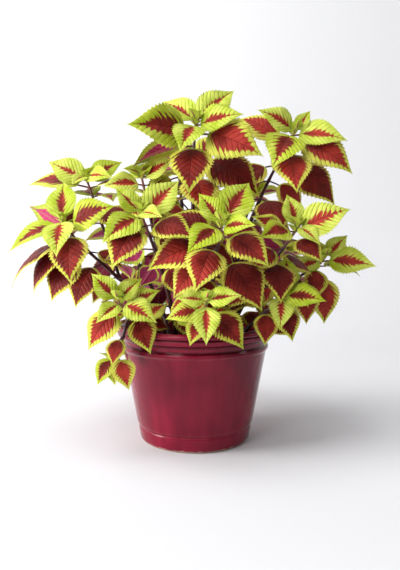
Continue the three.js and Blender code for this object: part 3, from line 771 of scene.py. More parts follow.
    def near_sheets(self, sheets: list[LinesAndFaces], shoot: Shoot, index: int) -> Sheets | None:
        """Picks the leaves of other shoots that a leaf could reach, however it is turned.

        Args:
            sheets: The coarse sheets of those leaves.
            shoot: The shoot that the leaf grows on.
            index: Its row.

        Returns:
            The sheets that it could reach, or None.
        """
        leaf = self.place(shoot, index, 0, 0, 1)
        reach = self.far_reach * leaf.chord + self.far_margin
        near = []
        for lines, faces in sheets:
            if np.linalg.norm(lines.reshape(-1, 3) - leaf.node, axis=1).min() < reach:
                near.append((lines, faces))
        return Sheets.together(near)

    def turns(self) -> list[tuple[float, float]]:
        """Lists the turns that a leaf tries one after another, from none outwards.

        Returns:
            Swing and lift of each, in degrees.
        """
        return [
            (swing * self.swing_step, lift * self.swing_step)
            for ring in range(self.swing_rings + 1)
            for swing in range(-ring, ring + 1)
            for lift in range(-ring, ring + 1)
            if max(abs(swing), abs(lift)) == ring
        ]

    def first_with_room(self, shoot: Shoot, index: int, around: Neighbours) -> Leaf | None:
        """Finds the first size and turn in which a leaf has room.

        Args:
            shoot: The shoot that it grows on.
            index: Its row.
            around: What it must have room among.

        Returns:
            The leaf, or None where it has no room in any of them.
        """
        for share in self.sizes:
            for swing, lift in self.turns():
                leaf = self.place(shoot, index, swing, lift, share)
                if self.has_room(leaf, around):
                    return leaf
        return None

    def has_room(self, leaf: Leaf, around: Neighbours) -> bool:
        """Tells whether a leaf has room.

        Args:
            leaf: The leaf.
            around: What it must have room among.

        Returns:
            True where it goes through nothing.
        """
        wide_lines, wide_faces = self.sheet(leaf, self.spare_width)
        if not self.clear_of_pot(wide_lines):
            return False
        lines, faces = self.own_sheet(leaf)
        if Sheets(lines, faces).meet(around.own_leaves) or Sheets(lines[1:], faces).meet(around.own_stem):
            return False
        shifts = [leaf.normal * rise for rise in (-self.clearance, 0, self.clearance)]
        thick_lines = np.concatenate([wide_lines + shift for shift in shifts])
        thick_lines[:: len(wide_lines)] = wide_lines[0]
        thick = Sheets(thick_lines, np.concatenate([wide_faces + shift for shift in shifts]))
        return not (thick.meet(around.other_stems) or thick.meet(around.far_leaves))


# ---------------------------------------------------------------- modelling tools


def deselect() -> None:
    """Goes to object mode and leaves nothing selected."""
    if bpy.context.mode != "OBJECT":
        bpy.ops.object.mode_set(mode="OBJECT")
    bpy.ops.object.select_all(action="DESELECT")


def pick(piece: Piece, *others: Piece) -> None:
    """Selects pieces.

    Args:
        piece: The one that becomes active.
        others: The rest.
    """
    deselect()
    for each in (piece, *others):
        each.select_set(True)
    bpy.context.view_layer.objects.active = piece


def coordinates(mesh: bpy.types.Mesh) -> np.ndarray:
    """Reads a mesh's vertices.

    Args:
        mesh: The mesh.

    Returns:
        Their places, one row each.
    """
    flat = np.empty(len(mesh.vertices) * 3)
    mesh.vertices.foreach_get("co", flat)
    return flat.reshape(-1, 3)


def reshape(piece: Piece, points: np.ndarray) -> None:
    """Moves the piece's vertices to the points."""
    piece.data.vertices.foreach_set("co", np.ascontiguousarray(points, float).ravel())
    piece.data.update()


def tag(piece: Piece, name: str, values: np.ndarray) -> None:
    """Gives each vertex of the piece a vector that its material reads."""
    attribute = piece.data.attributes.new(name, "FLOAT_VECTOR", "POINT")
    attribute.data.foreach_set("vector", np.ascontiguousarray(values, float).ravel())


def copy_of(piece: Piece) -> Piece:
    """Copies a piece.

    Args:
        piece: The piece.

    Returns:
        The copy, with its own mesh.
    """
    twin = piece.copy()
    twin.data = piece.data.copy()
    bpy.context.collection.objects.link(twin)
    return twin


def joined(pieces: Sequence[Piece], name: str) -> Piece:
    """Joins pieces.

    Args:
        pieces: The pieces.
        name: The name of the whole.

    Returns:
        The whole.
    """
    pick(*pieces)
    bpy.ops.object.join()
    whole = bpy.context.object
    whole.name = whole.data.name = name
    return whole


def apply_modifier(piece: Piece, kind: str, **settings: object) -> None:
    """Adds a modifier and applies it.

    Args:
        piece: The piece that it changes.
        kind: Its type.
        settings: Its settings.
    """
    pick(piece)
    modifier = piece.modifiers.new(kind.lower(), kind)
    for key, value in settings.items():
        setattr(modifier, key, value)
    bpy.ops.object.modifier_apply(modifier=modifier.name)


def smooth(piece: Piece, angle: float) -> None:
    """Shades the piece smooth, but for edges sharper than the angle in degrees."""
    pick(piece)
    bpy.ops.object.shade_smooth_by_angle(angle=math.radians(angle))


def discard(piece: Piece) -> None:
    """Removes a piece that was only modelled to be copied or to cut.

    Args:
        piece: The piece.
    """
    mesh = piece.data
    bpy.data.objects.remove(piece)
    bpy.data.meshes.remove(mesh)


def rounded(profile: Sequence[Place], steps: int = 5) -> Profile:
    """Rounds the corners of a profile.

    Args:
        profile: Radius, height and rounding of each corner.
        steps: Number of points round a corner.

    Returns:
        Radius and height of each point.
    """
    points = [np.array(corner[:2], float) for corner in profile]
    path = [tuple(points[0])]
    for i in range(1, len(points) - 1):
        before, here, after = points[i - 1 : i + 2]
        room = [LARGEST_CUT * np.linalg.norm(end - here) for end in (before, after)]
        near = min(profile[i][2], *room)
        if near <= 0:
            path.append(tuple(here))
            continue
        enter, leave = here + near * unit(before - here), here + near * unit(after - here)
        for t in np.linspace(0, 1, steps):
            path.append(tuple(enter * (1 - t) ** 2 + here * 2 * t * (1 - t) + leave * t * t))
    path.append(tuple(points[-1]))
    return path


def spun(path: Profile, sides: int, name: str) -> Piece:
    """Turns a closed shell about the Z axis.

    Args:
        path: Radius and height in metres, from the axis round to the axis.
        sides: Number of steps round.
        name: The name of the new piece.

    Returns:
        The piece.
    """
    deselect()
    bpy.ops.mesh.primitive_plane_add(size=MM)
    shell = bpy.context.object
    shell.name = shell.data.name = name
    bpy.ops.object.mode_set(mode="EDIT")
    bpy.ops.mesh.merge(type="CENTER")
    bpy.ops.transform.translate(value=(path[0][0], 0, path[0][1]))
    for here, ahead in zip(path, path[1:]):
        step = (ahead[0] - here[0], 0, ahead[1] - here[1])
        bpy.ops.mesh.extrude_region_move(TRANSFORM_OT_translate={"value": step})
    bpy.ops.mesh.select_all(action="SELECT")
    bpy.ops.mesh.spin(steps=sides, angle=2 * math.pi, center=(0, 0, 0), axis=(0, 0, 1), use_auto_merge=True)
    bpy.ops.mesh.select_all(action="SELECT")
    bpy.ops.mesh.remove_doubles(threshold=MERGE_WITHIN)
    bpy.ops.mesh.normals_make_consistent(inside=False)
    deselect()
    return shell


def tube(sides: int, steps: int) -> Piece:
    """Models a straight closed tube of radius 1 from height 0 to 1, to be bent along a line.

    Args:
        sides: Number of its sides.
        steps: Number of its stretches.

    Returns:
        The tube.
    """
    deselect()
    bpy.ops.mesh.primitive_circle_add(vertices=sides, radius=1, fill_type="NGON")
    straight = bpy.context.object
    bpy.ops.object.mode_set(mode="EDIT")
    for _ in range(steps):
        bpy.ops.mesh.extrude_region_move(TRANSFORM_OT_translate={"value": (0, 0, 1 / steps)})
    bpy.ops.mesh.select_all(action="SELECT")
    bpy.ops.mesh.normals_make_consistent(inside=False)
    deselect()
    return straight


def bent(straight: Piece, line: np.ndarray, radii: np.ndarray, squareness: float) -> Piece:
    """Bends a copy of a straight tube along a line.

    Args:
        straight: The tube, with as many sections as the line has points.
        line: Points of the centre line, in metres.
        radii: Radius at each point.
        squareness: 2 for a round section, and more for a squarer one.

    Returns:
        The copy.
    """
    piece = copy_of(straight)
    points = coordinates(piece.data)
    at = np.rint(points[:, 2] * (len(line) - 1)).astype(int)
    along = np.gradient(line, axis=0)
    along /= np.linalg.norm(along, axis=1)[:, None]
    side = np.empty_like(along)
    side[0] = unit(np.cross((0.0, 1.0, 0.0), along[0]))
    for i in range(1, len(line)):
        side[i] = unit(side[i - 1] - along[i] * (side[i - 1] @ along[i]))
    other = np.cross(along, side)
    angle = np.arctan2(points[:, 1], points[:, 0])
    spread = np.hypot(points[:, 0], points[:, 1])
    turned = angle + math.pi / 4
    corner = np.abs(np.cos(turned)) ** squareness + np.abs(np.sin(turned)) ** squareness
    reach = spread * radii[at] * 2 ** (1 / squareness - 0.5) / corner ** (1 / squareness)
    flat = side[at] * np.cos(angle)[:, None] + other[at] * np.sin(angle)[:, None]
    reshape(piece, line[at] + flat * reach[:, None])
    return piece


# ---------------------------------------------------------------- finishes


class Graph:
    """The shader nodes of one material, added and wired by short calls."""

    def __init__(self, name: str, roughness: float, **sockets: object) -> None:
        """Starts a material.

        Args:
            name: The material's name.
            roughness: Its roughness where nothing is wired to it.
            sockets: Other values on the shader's own sockets, with _ for a space.
        """
        self.material = bpy.data.materials.new(name)
        self.material.use_nodes = True
        self.tree = self.material.node_tree
        self.shader = self.tree.nodes["Principled BSDF"]
        self.shader.inputs["Roughness"].default_value = roughness
        for key, value in sockets.items():
            self.shader.inputs[key.replace("_", " ")].default_value = value

    def node(self, kind: str, inputs: Inputs | None = None, **settings: object) -> bpy.types.Node:
        """Adds a node.

        Args:
            kind: Its type, without the words that all shader nodes start with.
            inputs: What to wire or set its inputs to.
            settings: Its settings.

        Returns:
            The node.
        """
        node = self.tree.nodes.new(f"ShaderNode{kind}")
        for key, value in settings.items():
            setattr(node, key, value)
        for key, value in (inputs or {}).items():
            self.feed(node.inputs[key], value)
        return node

    def feed(self, socket: Socket, value: object) -> None:
        """Wires an input, or sets its own value.

        Args:
            socket: The input.
            value: The output to wire it to, or its value.
        """
        if isinstance(value, bpy.types.NodeSocket):
            self.tree.links.new(value, socket)
        elif isinstance(value, tuple) and socket.type == "RGBA":
            socket.default_value = (*value, 1)
        else:
            socket.default_value = value

    def math(self, operation: str, a: Value, b: Value = 0.0, clamp: bool = False) -> Socket:
        """The result of one operation on two values."""
        return self.node("Math", {0: a, 1: b}, operation=operation, use_clamp=clamp).outputs[0]

    def add(self, a: Value, b: Value) -> Socket:
        """The sum of two values."""
        return self.math("ADD", a, b)

    def times(self, a: Value, b: Value) -> Socket:
        """The product of two values."""
        return self.math("MULTIPLY", a, b)

    def swing(self, value: Value, width: Value) -> Socket:
        """A value from 0 to 1 as one that swings about 0, over a width."""
        return self.times(self.add(value, -0.5), width)

    def ridges(self, phase: Value) -> Socket:
        """A wave that is 1 where a phase is a whole number, and 0 halfway between."""
        return self.add(self.times(self.math("COSINE", self.times(phase, 2 * math.pi)), 0.5), 0.5)

    def step(self, value: Value, low: float, high: float, start: float = 0.0, end: float = 1.0) -> Socket:
        """A smooth step from start to end, as a value goes from low to high."""
        inputs = {"Value": value, "From Min": low, "From Max": high, "To Min": start, "To Max": end}
        return self.node("MapRange", inputs, interpolation_type="SMOOTHSTEP").outputs["Result"]

    def mix(self, share: Value, a: Colour | Socket, b: Colour | Socket, blend: str = "MIX") -> Socket:
        """Two colours mixed by a share."""
        node = self.node("Mix", {0: share, 6: a, 7: b}, data_type="RGBA", blend_type=blend)
        return node.outputs[2]

    def noise(self, place: Socket, scale: float, detail: float = 2.0, twist: float = 0.0) -> Socket:
        """Noise from 0 to 1 at a place."""
        inputs = {"Vector": place, "Scale": scale, "Detail": detail, "Distortion": twist}
        return self.node("TexNoise", inputs).outputs["Fac"]

    def net(self, place: Socket, scale: float) -> Socket:
        """Distance from the lines of a net at a place."""
        inputs = {"Vector": place, "Scale": scale}
        return self.node("TexVoronoi", inputs, feature="DISTANCE_TO_EDGE").outputs["Distance"]

    def stretched(self, place: Socket, scale: Place) -> Socket:
        """A place scaled along each axis, for noise that is longer one way."""
        return self.node("Mapping", {"Vector": place, "Scale": scale}).outputs[0]

    def place(self) -> Socket:
        """The place on the piece, in metres."""
        return self.node("TexCoord").outputs["Object"]

    def split(self, vector: Socket) -> tuple[Socket, Socket, Socket]:
        """The three parts of a vector."""
        outputs = self.node("SeparateXYZ", {0: vector}).outputs
        return outputs[0], outputs[1], outputs[2]

    def vector(self, x: Value, y: Value, z: Value) -> Socket:
        """A vector from its three parts."""
        return self.node("CombineXYZ", {0: x, 1: y, 2: z}).outputs[0]

    def attribute(self, name: str) -> tuple[Socket, Socket, Socket]:
        """The three parts of a vector that the piece's vertices carry."""
        return self.split(self.node("Attribute", attribute_name=name).outputs["Vector"])

    def bump(self, height: Socket, distance: float, strength: float) -> None:
        """Gives the surface relief of a height, in metres."""
        inputs = {"Height": height, "Distance": distance, "Strength": strength}
        self.set("Normal", self.node("Bump", inputs).outputs["Normal"])

    def set(self, name: str, value: object) -> None:
        """Wires or sets one of the shader's inputs."""
        self.feed(self.shader.inputs[name], value)


class Face(Enum):
    """The two faces of a leaf."""

    UPPER = 0
    UNDER = 1


@dataclass(frozen=True)
class LeafUpper:
    """The upper face of a leaf: lime, with a crimson centre that runs out along the veins.

    Patches, specks and the net's meshes are counted along a blade.
    """

    pale_lime: Colour = (0.72, 0.79, 0.14)
    deep_lime: Colour = (0.36, 0.47, 0.003)
    margin_yellow: Colour = (0.76, 0.68, 0.10)
    # Olive of the veins: partly their own colour, partly painted shade in the creases between the pleats.
    olive_vein_and_crease_shade: Colour = (0.17, 0.22, 0.008)
    crimson: Colour = (0.46, 0.038, 0.024)
    maroon: Colour = (0.12, 0.006, 0.004)
    edge_brown: Colour = (0.30, 0.15, 0.02)
    patches: float = 3.5
    specks: float = 30
    meshes: float = 26
    vein_sharpness: float = 16
    vein_relief: float = 0.0011

    def material(self) -> Finish:
        """Builds the finish.

        Returns:
            The material.
        """
        g = Graph("leaf_upper", 0.45, Specular_IOR_Level=0.16)
        age, tone, seed = g.attribute("leaf")
        centre, phase, across = g.attribute("pattern")
        u, t, _ = g.split(g.node("UVMap", uv_map="blade").outputs["UV"])
        spot = g.vector(u, t, g.times(seed, 7.3))
        broad = g.noise(spot, self.patches, 3)
        fine = g.noise(spot, self.specks, 4)
        phase = g.add(phase, g.swing(broad, 0.4))
        own = g.add(g.times(seed, 41), g.step(u, 0.499, 0.501))
        ridge = g.ridges(phase)
        vein = g.math("POWER", ridge, self.vein_sharpness)
        midway = g.math("ABSOLUTE", g.math("SUBTRACT", u, 0.5))
        midrib = g.step(midway, 0.014, 0.004)

        # Each vein carries the red out by a length of its own, and finer streaks follow it.
        length = g.noise(g.vector(g.times(g.math("ROUND", phase), 0.71), own, 0.0), 2.3, 0)
        streaks = g.noise(g.vector(phase, g.times(across, 0.5), own), 4.5, 2)
        middle_age = g.times(g.step(age, 0.05, 0.55), g.step(age, 1.0, 0.55, 0.35, 1.0))
        spike = g.times(g.add(g.times(middle_age, 0.19), 0.07), g.step(length, 0.3, 0.7, 0.1, 1.5))
        spikes = g.times(g.add(g.math("POWER", ridge, 2), -0.35), spike)
        ragged = g.swing(streaks, g.add(g.times(middle_age, 0.25), 0.28))
        grain = g.swing(fine, 0.12)
        reach = g.add(g.add(centre, spikes), g.add(ragged, grain))
        line = g.times(g.step(midway, 0.013, 0.006), g.times(g.step(t, 0.93, 0.80), g.step(t, 0.03, 0.08)))
        red_share = g.math("MAXIMUM", g.step(reach, -0.045, 0.045), line)

        lime_share = g.add(g.add(g.times(broad, 1.1), g.times(tone, 0.35)), g.times(age, 0.15))
        lime = g.mix(g.step(lime_share, 0.35, 1.15), self.pale_lime, self.deep_lime)
        yellowing = g.times(g.step(age, 0.3, 0.9), g.step(across, 0.3, 0.95, 0.2, 0.8))
        lime = g.mix(yellowing, lime, self.margin_yellow)
        # Olive along the veins: partly the veins' own colour, partly painted shade in the creases.
        lime = g.mix(g.times(vein, g.step(streaks, 0.3, 0.7, 0.1, 0.6)), lime, self.olive_vein_and_crease_shade)
        # The red is darker in older leaves, and darker towards the blade's foot as painted shade from the
        # leaves above.
        age_and_foot_shade = g.times(g.add(age, g.times(t, -1.0)), 0.25)
        depth = g.add(g.add(g.times(broad, 0.9), g.times(tone, 0.5)), age_and_foot_shade)
        red = g.mix(g.step(g.add(depth, g.times(grain, 1.6)), 0.35, 1.15), self.crimson, self.maroon)
        red = g.mix(g.math("MAXIMUM", g.times(vein, 0.3), g.times(midrib, 0.5)), red, self.maroon)
        rim = g.times(g.step(reach, -0.10, 0.0), g.step(reach, 0.10, 0.0))
        blade = g.mix(g.times(rim, 0.3), g.mix(red_share, lime, red), self.edge_brown)
        g.set("Base Color", blade)

        g.set("Roughness", g.add(g.times(fine, 0.16), 0.40))
        net = g.net(g.vector(g.add(u, g.times(fine, 0.02)), t, seed), self.meshes)
        grooves = g.math("MAXIMUM", g.math("POWER", ridge, 5), midrib)
        height = g.add(g.times(grooves, -0.9), g.times(g.step(net, 0.0, 0.12), 0.3))
        g.bump(height, self.vein_relief, 0.6)
        return g.material


@dataclass(frozen=True)
class LeafUnder:
    """The underside of a leaf: dull magenta, lightened as a painted glow of light shining through it, inside
    a lime margin, with raised paler veins.

    Patches and specks are counted along a blade.
    """

    # The magenta is lighter than the underside's own colour: a painted glow of light shining through the
    # leaf.
    magenta: Colour = (0.62, 0.03, 0.17)
    plum: Colour = (0.25, 0.010, 0.07)
    lime: Colour = (0.58, 0.70, 0.07)
    vein_pink: Colour = (0.50, 0.16, 0.17)
    patches: float = 4
    specks: float = 24
    vein_sharpness: float = 18
    vein_relief: float = 0.0009

    def material(self) -> Finish:
        """Builds the finish.

        Returns:
            The material.
        """
        g = Graph("leaf_under", 0.55, Specular_IOR_Level=0.25, Sheen_Weight=0.08, Sheen_Roughness=0.5)
        age, tone, seed = g.attribute("leaf")
        centre, phase, _ = g.attribute("pattern")
        u, t, _ = g.split(g.node("UVMap", uv_map="blade").outputs["UV"])
        spot = g.vector(u, t, g.times(seed, 7.3))
        broad = g.noise(spot, self.patches, 3)
        fine = g.noise(spot, self.specks, 3)
        ridge = g.ridges(phase)
        midway = g.math("ABSOLUTE", g.math("SUBTRACT", u, 0.5))
        vein = g.math("MAXIMUM", g.math("POWER", ridge, self.vein_sharpness), g.step(midway, 0.03, 0.012))
        # Painted glow: the lightened magenta stands for light shining through the leaf.
        red = g.mix(g.step(g.add(broad, g.times(tone, 0.4)), 0.3, 1.0), self.magenta, self.plum)
        reach = g.add(g.add(centre, 0.06), g.swing(fine, 0.3))
        blade = g.mix(g.step(reach, -0.1, 0.06), self.lime, red)
        blade = g.mix(g.times(vein, g.step(age, 0.1, 0.5, 0.1, 0.6)), blade, self.vein_pink)
        g.set("Base Color", blade)
        g.set("Roughness", g.step(age, 0.0, 1.0, 0.48, 0.6))
        g.bump(g.add(vein, g.times(fine, 0.25)), self.vein_relief, 0.5)
        return g.material


@dataclass(frozen=True)
class StemSkin:
    """Skin of the square stems and the leaf stalks: fresh green flushed with pink, darkening to purple."""

    fresh: Colour = (0.27, 0.33, 0.05)
    flushed: Colour = (0.20, 0.05, 0.05)
    dark: Colour = (0.055, 0.012, 0.016)
    mottles_per_m: float = 260
    streaks_per_m: Place = (900, 900, 60)
    relief: float = 0.0003

    def material(self) -> Finish:
        """Builds the finish.

        Returns:
            The material.
        """
        g = Graph("stem_skin", 0.45, Specular_IOR_Level=0.3, Sheen_Weight=0.08, Sheen_Roughness=0.45)
        darkness, _, _ = g.attribute("skin")
        place = g.place()
        mottle = g.noise(place, self.mottles_per_m, 4)
        streak = g.noise(g.stretched(place, self.streaks_per_m), 1, 3)
        share = g.add(darkness, g.swing(mottle, 0.35))
        young = g.mix(g.step(share, 0.0, 0.45), self.fresh, self.flushed)
        skin = g.mix(g.step(share, 0.35, 0.95), young, self.dark)
        skin = g.mix(g.step(streak, 0.55, 0.8, 0.0, 0.25), skin, self.flushed)
        g.set("Base Color", skin)
        g.set("Roughness", g.add(g.times(mottle, 0.2), 0.34))
        g.bump(g.add(streak, g.times(mottle, 0.5)), self.relief, 0.4)
        return g.material


@dataclass(frozen=True)
class BurgundyGlaze:
    """Glossy burgundy glaze, with a painted highlight along the edges of the rings and painted shade in the
    grooves, and gone along the foot.

    Heights are in metres.
    """

    deep: Colour = (0.135, 0.0030, 0.016)
    bright: Colour = (0.25, 0.0075, 0.029)
    # Painted highlight: the paler pink laid along the edges of the rings.
    ring_highlight: Colour = (0.30, 0.055, 0.060)
    # Painted shade: the dark colour laid into the grooves.
    groove_shade: Colour = (0.030, 0.0010, 0.004)
    bare_clay: Colour = (0.42, 0.26, 0.20)
    ring_heights: tuple[float, ...] = (0.0185, 0.0225, 0.1168, 0.1206, 0.1375, 0.1435)
    groove_heights: tuple[float, ...] = (0.1232, 0.1300, 0.1390)
    ring_reach: float = 0.0011
    groove_reach: float = 0.0030
    bare_below: float = 0.0020
    glazed_above: float = 0.0034
    chipping: float = 0.0060
    wobble: float = 0.0016
    clouds_per_m: float = 14
    runs_per_m: Place = (60, 60, 7)
    specks_per_m: float = 420
    chips_per_m: float = 190
    dimples_per_m: float = 32
    relief: float = 0.0012

    def material(self) -> Finish:
        """Builds the finish.

        Returns:
            The material.
        """
        g = Graph("burgundy_glaze", 0.16, Specular_IOR_Level=0.18, Coat_Weight=0.13, Coat_Roughness=0.04)
        place = g.place()
        _, _, z = g.split(place)
        cloud = g.noise(place, self.clouds_per_m, 4, 0.6)
        speck = g.noise(place, self.specks_per_m, 3)
        runs = g.noise(g.stretched(place, self.runs_per_m), 1, 4, 0.4)
        glaze = g.mix(g.step(g.add(cloud, g.times(runs, 0.6)), 0.55, 1.1), self.deep, self.bright)
        height = g.add(z, g.swing(cloud, self.wobble))
        # Painted shade: the grooves under the lip and below the band are darkened.
        groove = self.near(g, height, self.groove_heights, self.groove_reach)
        glaze = g.mix(g.times(groove, 0.8), glaze, self.groove_shade)
        # Painted highlight: the edges of the rings are lightened.
        edge = self.near(g, height, self.ring_heights, self.ring_reach)
        glaze = g.mix(g.times(edge, g.step(runs, 0.3, 0.7, 0.10, 0.45)), glaze, self.ring_highlight)
        glaze = g.mix(g.step(speck, 0.66, 0.74, 0.0, 0.30), glaze, self.deep)
        chips = g.noise(place, self.chips_per_m, 3)
        foot = g.step(g.add(height, g.swing(chips, self.chipping)), self.glazed_above, self.bare_below)
        glaze = g.mix(foot, glaze, self.bare_clay)
        g.set("Base Color", glaze)
        g.set("Roughness", g.math("MAXIMUM", g.step(speck, 0.4, 0.8, 0.13, 0.22), g.times(foot, 0.8)))
        g.bump(g.add(g.noise(place, self.dimples_per_m, 2), g.times(speck, 0.05)), self.relief, 0.18)
        return g.material

    def near(self, g: Graph, height: Socket, places: Sequence[float], reach: float) -> Socket:
        """Tells how near a height is to any of several places.

        Args:
            g: The finish's nodes.
            height: The height.
            places: The places.
            reach: How far from a place the share falls to 0.

        Returns:
            A share, which is 1 at each place.
        """
        share: Value = 0.0
        for place in places:
            gap = g.math("ABSOLUTE", g.math("SUBTRACT", height, place))
            share = g.math("MAXIMUM", g.step(gap, reach, 0.0), share)
        return share


@dataclass(frozen=True)
class SoilMix:
    """Dark damp potting soil."""

    wet: Colour = (0.010, 0.006, 0.004)
    dry: Colour = (0.055, 0.032, 0.020)
    lumps_per_m: float = 95
    grit_per_m: float = 620
    relief: float = 0.0025

    def material(self) -> Finish:
        """Builds the finish.

        Returns:
            The material.
        """
        g = Graph("potting_mix", 0.92, Specular_IOR_Level=0.2)
        place = g.place()
        lump = g.noise(place, self.lumps_per_m, 5, 0.3)
        grit = g.noise(place, self.grit_per_m, 4)
        g.set("Base Color", g.mix(g.step(g.add(lump, g.times(grit, 0.5)), 0.55, 1.05), self.wet, self.dry))
        g.set("Roughness", g.step(lump, 0.2, 0.8, 0.7, 0.98))
        g.bump(g.add(lump, g.times(grit, 0.4)), self.relief, 0.9)
        return g.material


@dataclass(frozen=True)
class PerliteGrain:
    """Pale porous perlite."""

    light: Colour = (0.72, 0.69, 0.62)
    dusty: Colour = (0.36, 0.29, 0.22)
    pores_per_m: float = 900
    relief: float = 0.0006

    def material(self) -> Finish:
        """Builds the finish.

        Returns:
            The material.
        """
        g = Graph("perlite_grain", 0.9, Specular_IOR_Level=0.2)
        place = g.place()
        pore = g.noise(place, self.pores_per_m, 3)
        g.set("Base Color", g.mix(g.step(pore, 0.35, 0.7), self.dusty, self.light))
        g.bump(pore, self.relief, 0.6)
        return g.material


# ---------------------------------------------------------------- leaves


@dataclass
class Blade:
    """The blade that every leaf is a bent copy of: flat, with t along it and u across it from -1 to 1."""

    teeth: int = 14
    teeth_from: float = 0.07
    teeth_to: float = 0.93
    columns: tuple[float, ...] = (0.0, 0.09, 0.36, 0.64, 0.87, 1.0)
    tooth_stops: tuple[float, ...] = (0.0, 0.62)
    foot_stops: tuple[float, ...] = (0.001, 0.016, 0.04)
    apex_stops: tuple[float, ...] = (0.93, 0.953, 0.976, 0.996)
    width_share: float = 0.38

    def stops(self) -> list[float]:
        """Works out where the blade has rows of vertices.

        Returns:
            Their places along it.
        """
        toothed = [
            self.teeth_from + self.pitch * (i + stop) for i in range(self.teeth) for stop in self.tooth_stops
        ]
        return [*self.foot_stops, *toothed, *self.apex_stops]

    @property
    def pitch(self) -> float:
        """Length of a tooth."""
        return (self.teeth_to - self.teeth_from) / self.teeth

    def model(self, upper: Finish, under: Finish) -> Piece:
        """Models the flat blade with its two faces and its UV map.

        Args:
            upper: The finish of its upper face.
            under: The finish of its underside.

        Returns:
            The blade.
        """
        rows = np.array(self.stops())
        spread = np.array((*(-u for u in self.columns[:0:-1]), *self.columns))
        deselect()
        bpy.ops.mesh.primitive_grid_add(
            x_subdivisions=len(spread) - 1, y_subdivisions=len(rows) - 1, size=2
        )
        blade = bpy.context.object
        points = coordinates(blade.data)
        column = np.rint((points[:, 0] + 1) / 2 * (len(spread) - 1)).astype(int)
        row = np.rint((points[:, 1] + 1) / 2 * (len(rows) - 1)).astype(int)
        reshape(blade, np.column_stack((spread[column], rows[row], np.zeros(len(points)))))
        apply_modifier(blade, "SOLIDIFY", thickness=2, offset=0)
        blade.data.materials.append(upper)
        blade.data.materials.append(under)
        for face in blade.data.polygons:
            face.material_index = Face.UNDER.value if face.normal.z < -0.5 else Face.UPPER.value
        self.unfold(blade)
        return blade

    def unfold(self, blade: Piece) -> None:
        """Lays the blade's UV map out in its true outline.

        Args:
            blade: The flat blade.
        """
        while blade.data.uv_layers:
            blade.data.uv_layers.remove(blade.data.uv_layers[0])
        layer = blade.data.uv_layers.new(name="blade")
        points = coordinates(blade.data)
        corners = np.empty(len(blade.data.loops), int)
        blade.data.loops.foreach_get("vertex_index", corners)
        u, t = points[corners, 0], points[corners, 1]
        flat = np.column_stack((0.5 + u * self.width_share * outline(t), t))
        layer.data.foreach_set("uv", flat.ravel())


